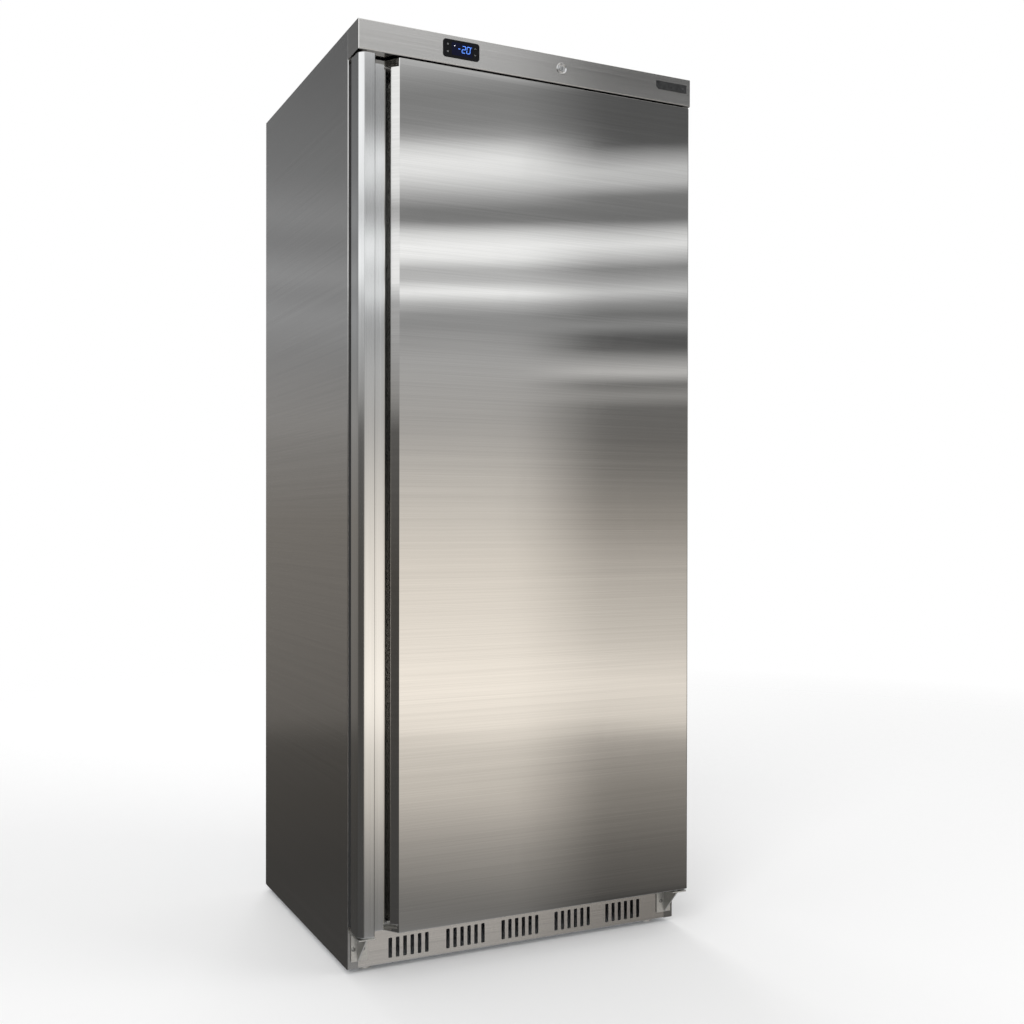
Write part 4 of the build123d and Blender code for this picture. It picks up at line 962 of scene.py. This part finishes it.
# Left edge, width and lit bars
FIGURES = [
    (-177.0, SIGN_WIDE, "g"), (-167.8, FIGURE_WIDE, "abged"), (-157.4, FIGURE_WIDE, "abcdef")
]
DEGREE, DEGREE_RADIUS, DEGREE_BAR, DEGREE_SIDES = (-147.6, 7.4), 0.9, 0.5, 6
bm = bmesh.new()
for left, wide, bars_used in FIGURES:
    for bar in bars_used:
        start, end = (
            Vector((left + wide * u, CONTROLS_Z + FIGURE_HALF * (v - 1) + RAISED))
            for u, v in CORNER_BARS[bar]
        )
        gap = (end - start).normalized() * BAR_GAP
        tile(bm, start + gap, end - gap, BAR, LEAN)
degree_middle = Vector((DEGREE[0], CONTROLS_Z + DEGREE[1]))
degree_points = [
    degree_middle + Vector((math.cos(a), math.sin(a))) * DEGREE_RADIUS
    for a in (2 * math.pi * step / DEGREE_SIDES for step in range(DEGREE_SIDES + 1))
]
for start, end in zip(degree_points, degree_points[1:]):
    tile(bm, start, end, DEGREE_BAR)
lit_figures = tiles_piece("lit_figures", bm, lit)
print("figures", len(lit_figures.data.polygons), "faces")

# %% Running dot and pane
DOT, DOT_RUN, DOT_WIDE = (-184.5, 6.5), Vector((1.1, 0.6)), 1.4
bm = bmesh.new()
dot_middle = Vector((DOT[0], CONTROLS_Z + DOT[1]))
tile(bm, dot_middle - DOT_RUN, dot_middle + Vector((DOT_RUN.x, -DOT_RUN.y)), DOT_WIDE)
running_dot = tiles_piece("running_dot", bm, dot_mark)
window_pane = block("window_pane", (pane_low[0], PANE_FACE, pane_low[2]), pane_high)
window_pane.data.materials.append(glass)
for piece in (lit_figures, running_dot, window_pane):
    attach(piece, "cabinet")
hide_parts("display_window")
print("pane", pane_low, pane_high)

# %% [markdown]
# ## Gasket
# The seal is a soft black section with a wide foot on the door, a thin folded waist and a
# head with a magnet strip inside. It is welded at mitred corners, so one section is carried
# round four corners. On the handle side a thin black sheet reaches out across the gap and past
# the seal's ends: painted shade, standing in for the dark of that gap.

# %% Gasket section round the door
# How far each point lies outside the seal's edge, and its y
GASKET_SECTION = [
    (-4.0, -299.4), (-4.0, -297.6), (-6.5, -296.0), (-8.6, -294.6), (-5.8, -292.8), (-8.4, -291.0),
    (-6.0, -289.6), (-1.2, -288.6), (0.0, -287.2), (0.0, -283.2), (-1.2, -281.9), (-9.0, -281.8),
    (-12.0, -282.3), (-15.0, -281.8), (-22.8, -281.9), (-24.0, -283.2), (-24.0, -287.2),
    (-22.8, -288.6), (-17.6, -289.6), (-15.4, -291.0), (-18.0, -292.8), (-15.4, -294.6),
    (-17.5, -296.0), (-20.0, -297.6), (-20.0, -299.4),
]
# x and y of the black sheet across the gap on the handle side: painted shade for the gap
GAP_SHADE_SHEET = [(-361.0, -287.6), (-385.8, -284.2), (-386.4, -283.0), (-385.8, -281.9), (-361.0, -285.8)]
GAP_SHADE_PAST = 20.0
gasket_low, gasket_high = box_mm("door_gasket")
bm = bmesh.new()
rings = []
for side, level in ((-1, -1), (1, -1), (1, 1), (-1, 1)):
    edge = gasket_high[2] if level > 0 else gasket_low[2]
    rings.append([
        bm.verts.new((side * (gasket_high[0] + u), y, edge + level * u)) for u, y in GASKET_SECTION
    ])
for index in range(4):
    join_rings(bm, rings[index], rings[(index + 1) % 4])
low_gap_shade_ring, high_gap_shade_ring = (
    [bm.verts.new((x, y, z)) for x, y in GAP_SHADE_SHEET]
    for z in (gasket_low[2] - GAP_SHADE_PAST, gasket_high[2] + GAP_SHADE_PAST)
)
join_rings(bm, high_gap_shade_ring, low_gap_shade_ring)
bm.faces.new(low_gap_shade_ring)
bm.faces.new(high_gap_shade_ring)
bmesh.ops.recalc_face_normals(bm, faces=bm.faces)
door_seal = new_piece("door_seal", bm, rubber, 40)
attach(door_seal, "door")
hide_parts("door_gasket")
print("gasket section of", len(GASKET_SECTION), "points")

# %% [markdown]
# ## Screws
# The same pan head screw holds the brackets in front and the panels behind. A Geometry
# Nodes tree builds one head with its cross recess and its shank, and sets it at every point
# of a small mesh, each turned by chance from a fixed seed. Modelling one and copying it by
# hand would do too, but the tree's named inputs change all of them at once.


# %% Geometry Nodes helpers
def shape_tree(name, inputs):
    """Empty Geometry Nodes tree with a geometry in and out and named values."""
    tree = bpy.data.node_groups.new(name, "GeometryNodeTree")
    tree.interface.new_socket(name="Geometry", in_out="INPUT", socket_type="NodeSocketGeometry")
    for label, kind, default in inputs:
        tree.interface.new_socket(name=label, in_out="INPUT", socket_type=kind).default_value = default
    tree.interface.new_socket(name="Geometry", in_out="OUTPUT", socket_type="NodeSocketGeometry")
    return tree, tree.nodes.new("NodeGroupInput"), tree.nodes.new("NodeGroupOutput")


def vector(tree, x=0.0, y=0.0, z=0.0):
    """Vector of three values or sockets."""
    return add_node(tree, "ShaderNodeCombineXYZ", {0: x, 1: y, 2: z}).outputs[0]


def changed(tree, shape, **change):
    """A shape with a Translation or a Scale."""
    return add_node(tree, "GeometryNodeTransform", {"Geometry": shape, **change}).outputs[0]


def set_at_points(tree, inside, out, shape, turn=(0.0, 0.0, 0.0), spin=None):
    """Ends a tree: the shape at each point, turned, then spun on itself, real and painted."""
    points = {"Points": inside.outputs["Geometry"], "Instance": shape, "Rotation": turn}
    placed = add_node(tree, "GeometryNodeInstanceOnPoints", points)
    if spin:
        turns = {"Instances": placed.outputs[0], "Rotation": spin}
        placed = add_node(tree, "GeometryNodeRotateInstances", turns)
    single = add_node(tree, "GeometryNodeRealizeInstances", {0: placed.outputs[0]})
    paint = {"Geometry": single.outputs[0], "Material": inside.outputs["Finish"]}
    finished = add_node(tree, "GeometryNodeSetMaterial", paint)
    tree.links.new(finished.outputs[0], out.inputs[0])


print("tree helpers ready")


# %% Plain mesh from a tree
def shape_from_tree(name, tree, points, finish, **values):
    """Runs a tree on a mesh of points (millimetres) and keeps the result as a plain mesh."""
    data = bpy.data.meshes.new(name)
    data.from_pydata([[part * MM for part in point] for point in points], [], [])
    piece = add_object(name, data)
    shaper = piece.modifiers.new(name, "NODES")
    shaper.node_group = tree
    for item in tree.interface.items_tree:
        if item.item_type == "SOCKET" and item.in_out == "INPUT":
            key = item.name.replace(" ", "_")
            if key in values:
                shaper[item.identifier] = values[key]
            elif item.name == "Finish":
                shaper[item.identifier] = finish
    made_plain(piece)
    piece.data.materials.clear()
    piece.data.materials.append(finish)
    for face in piece.data.polygons:
        face.material_index = 0
    return piece


print("ready to run a tree")

# %% Screw tree
ARM_LONG, ARM_WIDE, ARM_DEEP = 1.15, 0.24, 1.2
UNDER, SHANK_RADIUS, SPIN = 0.02, 2.5 * MM, 1.5
screw_tree, inside, out = shape_tree(
    "pan_head_screws",
    [
        ("Head radius", "NodeSocketFloat", 4.4 * MM),
        ("Head height", "NodeSocketFloat", 2.7 * MM),
        ("Shank length", "NodeSocketFloat", 9.0 * MM),
        ("Facing", "NodeSocketFloat", math.pi / 2),
        ("Seed", "NodeSocketInt", 7),
        ("Finish", "NodeSocketMaterial", None),
    ],
)
head_radius, head_height, shank_length, facing, seed = (
    inside.outputs[label]
    for label in ("Head radius", "Head height", "Shank length", "Facing", "Seed")
)
dome = add_node(screw_tree, "GeometryNodeMeshUVSphere", {"Segments": 24, "Rings": 12, "Radius": 1.0})
dome_size = vector(screw_tree, head_radius, head_radius, head_height)
dome = changed(screw_tree, dome.outputs[0], Scale=dome_size)
under = add_node(screw_tree, "GeometryNodeMeshCube", {"Size": (UNDER, UNDER, UNDER)})
cutters = [changed(screw_tree, under.outputs[0], Translation=vector(screw_tree, z=-UNDER / 2))]
arm_long = maths(screw_tree, "MULTIPLY", head_radius, ARM_LONG)
arm_wide = maths(screw_tree, "MULTIPLY", head_radius, ARM_WIDE)
arm_deep = maths(screw_tree, "MULTIPLY", head_height, ARM_DEEP)
for first, second in ((arm_long, arm_wide), (arm_wide, arm_long)):
    size = vector(screw_tree, first, second, arm_deep)
    arm = add_node(screw_tree, "GeometryNodeMeshCube", {"Size": size})
    lifted = vector(screw_tree, z=head_height)
    cutters.append(changed(screw_tree, arm.outputs[0], Translation=lifted))
head = add_node(screw_tree, "GeometryNodeMeshBoolean", {"Mesh 1": dome}, operation="DIFFERENCE")
for cutter in cutters:
    screw_tree.links.new(cutter, head.inputs["Mesh 2"])
rod = {"Vertices": 16, "Radius": SHANK_RADIUS, "Depth": shank_length}
shank = add_node(screw_tree, "GeometryNodeMeshCylinder", rod)
drop = vector(screw_tree, z=maths(screw_tree, "MULTIPLY", shank_length, -0.5))
shank = changed(screw_tree, shank.outputs[0], Translation=drop)
screw = add_node(screw_tree, "GeometryNodeJoinGeometry")
for part in (head.outputs[0], shank):
    screw_tree.links.new(part, screw.inputs[0])
chance = {"Min": -SPIN, "Max": SPIN, "Seed": seed}
spin = add_node(screw_tree, "FunctionNodeRandomValue", chance, data_type="FLOAT").outputs["Value"]
set_at_points(
    screw_tree, inside, out, screw.outputs[0], vector(screw_tree, x=facing),
    vector(screw_tree, z=spin),
)
print("screw tree of", len(screw_tree.nodes), "nodes")

# %% Bracket screws
BRACKET_SCREWS_X, PLATE_BEHIND = (356.0, 376.0), 2.8
screws_low, screws_high = box_mm("bracket_screws")
plate_face = screws_low[1] + PLATE_BEHIND
screws_z = middle(screws_low, screws_high, 2)
# The bracket screws take the darker steel, whose colour paints the shade round their heads.
bracket_fixings = shape_from_tree(
    "bracket_fixings", screw_tree,
    [(side * x, plate_face, screws_z) for side in (-1, 1) for x in BRACKET_SCREWS_X], screw_steel,
    Head_radius=4.4 * MM, Head_height=2.7 * MM, Shank_length=(screws_high[1] - plate_face) * MM,
)
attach(bracket_fixings, "cabinet")
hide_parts("bracket_screws")
print("bracket screws", len(bracket_fixings.data.polygons), "faces")

# %% Panel screws
SIDE_SCREWS, SIDE_INSET, SIDE_X = 8, 18.0, 357.0
TOP_X, VENT_X, VENT_INSET = 180.0, 82.5, 9.0
back_low, back_high = box_mm("back_panel")
vent_low, vent_high = box_mm("rear_grille")
reach = back_high[2] - back_low[2] - 2 * SIDE_INSET
levels = [
    back_low[2] + SIDE_INSET + reach * step / (SIDE_SCREWS - 1) for step in range(SIDE_SCREWS)
]
spots = [(side * SIDE_X, back_high[1], level) for side in (-1, 1) for level in levels]
spots += [(x, back_high[1], levels[-1]) for x in (-TOP_X, 0.0, TOP_X)]
spots += [
    (x, vent_high[1], level)
    for x in (-SIDE_X, -VENT_X, VENT_X, SIDE_X)
    for level in (vent_low[2] + VENT_INSET, vent_high[2] - VENT_INSET)
]
panel_fixings = shape_from_tree(
    "panel_fixings", screw_tree, spots, plated,
    Head_radius=4.0 * MM, Head_height=0.95 * MM, Shank_length=6.0 * MM, Facing=-math.pi / 2,
)
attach(panel_fixings, "cabinet")
print(len(spots), "panel screws", len(panel_fixings.data.polygons), "faces")

# %% [markdown]
# ## Shelf wires
# Each shelf is a bent cooling tube with thin wires laid across it. The measured frame has
# the outer wires; the finer ones between them are swept by a tree along short lines.

# %% Wire tree
wire_tree, inside, out = shape_tree(
    "cross_wires",
    [
        ("Half length", "NodeSocketFloat", 0.3),
        ("Wire radius", "NodeSocketFloat", 1.2 * MM),
        ("Finish", "NodeSocketMaterial", None),
    ],
)
half_length, wire_radius = inside.outputs["Half length"], inside.outputs["Wire radius"]
ends = {
    "Start": vector(wire_tree, maths(wire_tree, "MULTIPLY", half_length, -1.0)),
    "End": vector(wire_tree, half_length),
}
line = add_node(wire_tree, "GeometryNodeCurvePrimitiveLine", ends)
round_section = {"Resolution": 8, "Radius": wire_radius}
section = add_node(wire_tree, "GeometryNodeCurvePrimitiveCircle", round_section)
sweep = {"Curve": line.outputs[0], "Profile Curve": section.outputs[0], "Fill Caps": True}
swept = add_node(wire_tree, "GeometryNodeCurveToMesh", sweep)
set_at_points(wire_tree, inside, out, swept.outputs[0])
print("wire tree of", len(wire_tree.nodes), "nodes")

# %% Lay the fine wires
WIRE_RADIUS, WIRE_UNDER_TOP = 1.1, 1.7
FINE_WIRES_AT = [-153.3, -106.7, -13.3, 33.3, 126.7, 173.3]
shelf_boxes = [box_mm("evaporator_shelf_" + str(number)) for number in range(1, 7)]
shelf_wires = shape_from_tree(
    "shelf_wires", wire_tree,
    [(0.0, y, high[2] - WIRE_UNDER_TOP) for _, high in shelf_boxes for y in FINE_WIRES_AT],
    tube_paint, Half_length=shelf_boxes[0][1][0] * MM, Wire_radius=WIRE_RADIUS * MM,
)
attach(shelf_wires, "cabinet")
print(len(shelf_boxes) * len(FINE_WIRES_AT), "fine wires")

# %% [markdown]
# ## Lock ring
# The lock's housing is a turned part, so its section is drawn once and spun round the
# lock's axis: a rounded rim, a hollow and a small lip round the plug.


# %% Turn the lock ring
def turned(name, section, centre, finish, steps=64):
    """Ring spun from a closed section of (radius, depth) round a level axis along Y."""
    bm = bmesh.new()
    rings = []
    for step in range(steps):
        angle = 2 * math.pi * step / steps
        rings.append([
            bm.verts.new((centre[0] + r * math.cos(angle), y, centre[1] + r * math.sin(angle)))
            for r, y in section
        ])
    for index in range(steps):
        join_rings(bm, rings[index], rings[(index + 1) % steps])
    bmesh.ops.recalc_face_normals(bm, faces=bm.faces)
    return new_piece(name, bm, finish, 35)


# Radius and y of each point
RING_SECTION = [
    (12.5, -345.5), (12.5, -346.3), (12.2, -346.9), (11.6, -347.3), (10.8, -347.5), (10.0, -347.3),
    (9.2, -346.7), (8.2, -346.3), (7.6, -346.5), (7.3, -347.0), (6.9, -347.2), (6.1, -347.0),
    (6.1, -315.5), (9.5, -315.5), (9.5, -345.5),
]
lock_low, lock_high = box_mm("lock_housing")
lock_middle = (middle(lock_low, lock_high, 0), middle(lock_low, lock_high, 2))
lock_ring = turned("lock_ring", RING_SECTION, lock_middle, lock_chrome)
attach(lock_ring, "cabinet")
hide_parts("lock_housing")
print("lock ring at", lock_middle, "with", len(lock_ring.data.polygons), "faces")

# %% [markdown]
# ## Brackets with broken edges
# Pressed brackets have edges that catch the light. A copy of each solid is merged and its
# flat faces joined, and a Bevel modifier breaks the edges by half a millimetre.

# %% Soften the brackets
MERGE, FLAT_WITHIN, EDGE_FROM = 0.001, 2, 40
BROKEN_EDGE = 0.5


def softened(name, node, finish, width):
    """Copy of a solid with its sharp edges bevelled by a width in millimetres."""
    bm = bmesh.new()
    bm.from_mesh(nodes[node].data)
    bmesh.ops.scale(bm, vec=(1 / MM, 1 / MM, 1 / MM), verts=bm.verts)
    bmesh.ops.remove_doubles(bm, verts=bm.verts, dist=MERGE)
    flat = math.radians(FLAT_WITHIN)
    bmesh.ops.dissolve_limit(bm, angle_limit=flat, verts=bm.verts, edges=bm.edges)
    piece = new_piece(name, bm, finish)
    bevel = piece.modifiers.new("broken_edges", "BEVEL")
    bevel.width = width * MM
    bevel.segments = 2
    bevel.limit_method = "ANGLE"
    bevel.angle_limit = math.radians(EDGE_FROM)
    return even_normals(piece)


for name, node in (
    ("left_bracket", "left_door_bracket"), ("lower_hinge", "lower_hinge_bracket"),
):
    piece = softened(name, node, zinc, BROKEN_EDGE)
    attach(piece, "cabinet")
    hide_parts(node)
    print(name, len(piece.data.polygons), "faces")
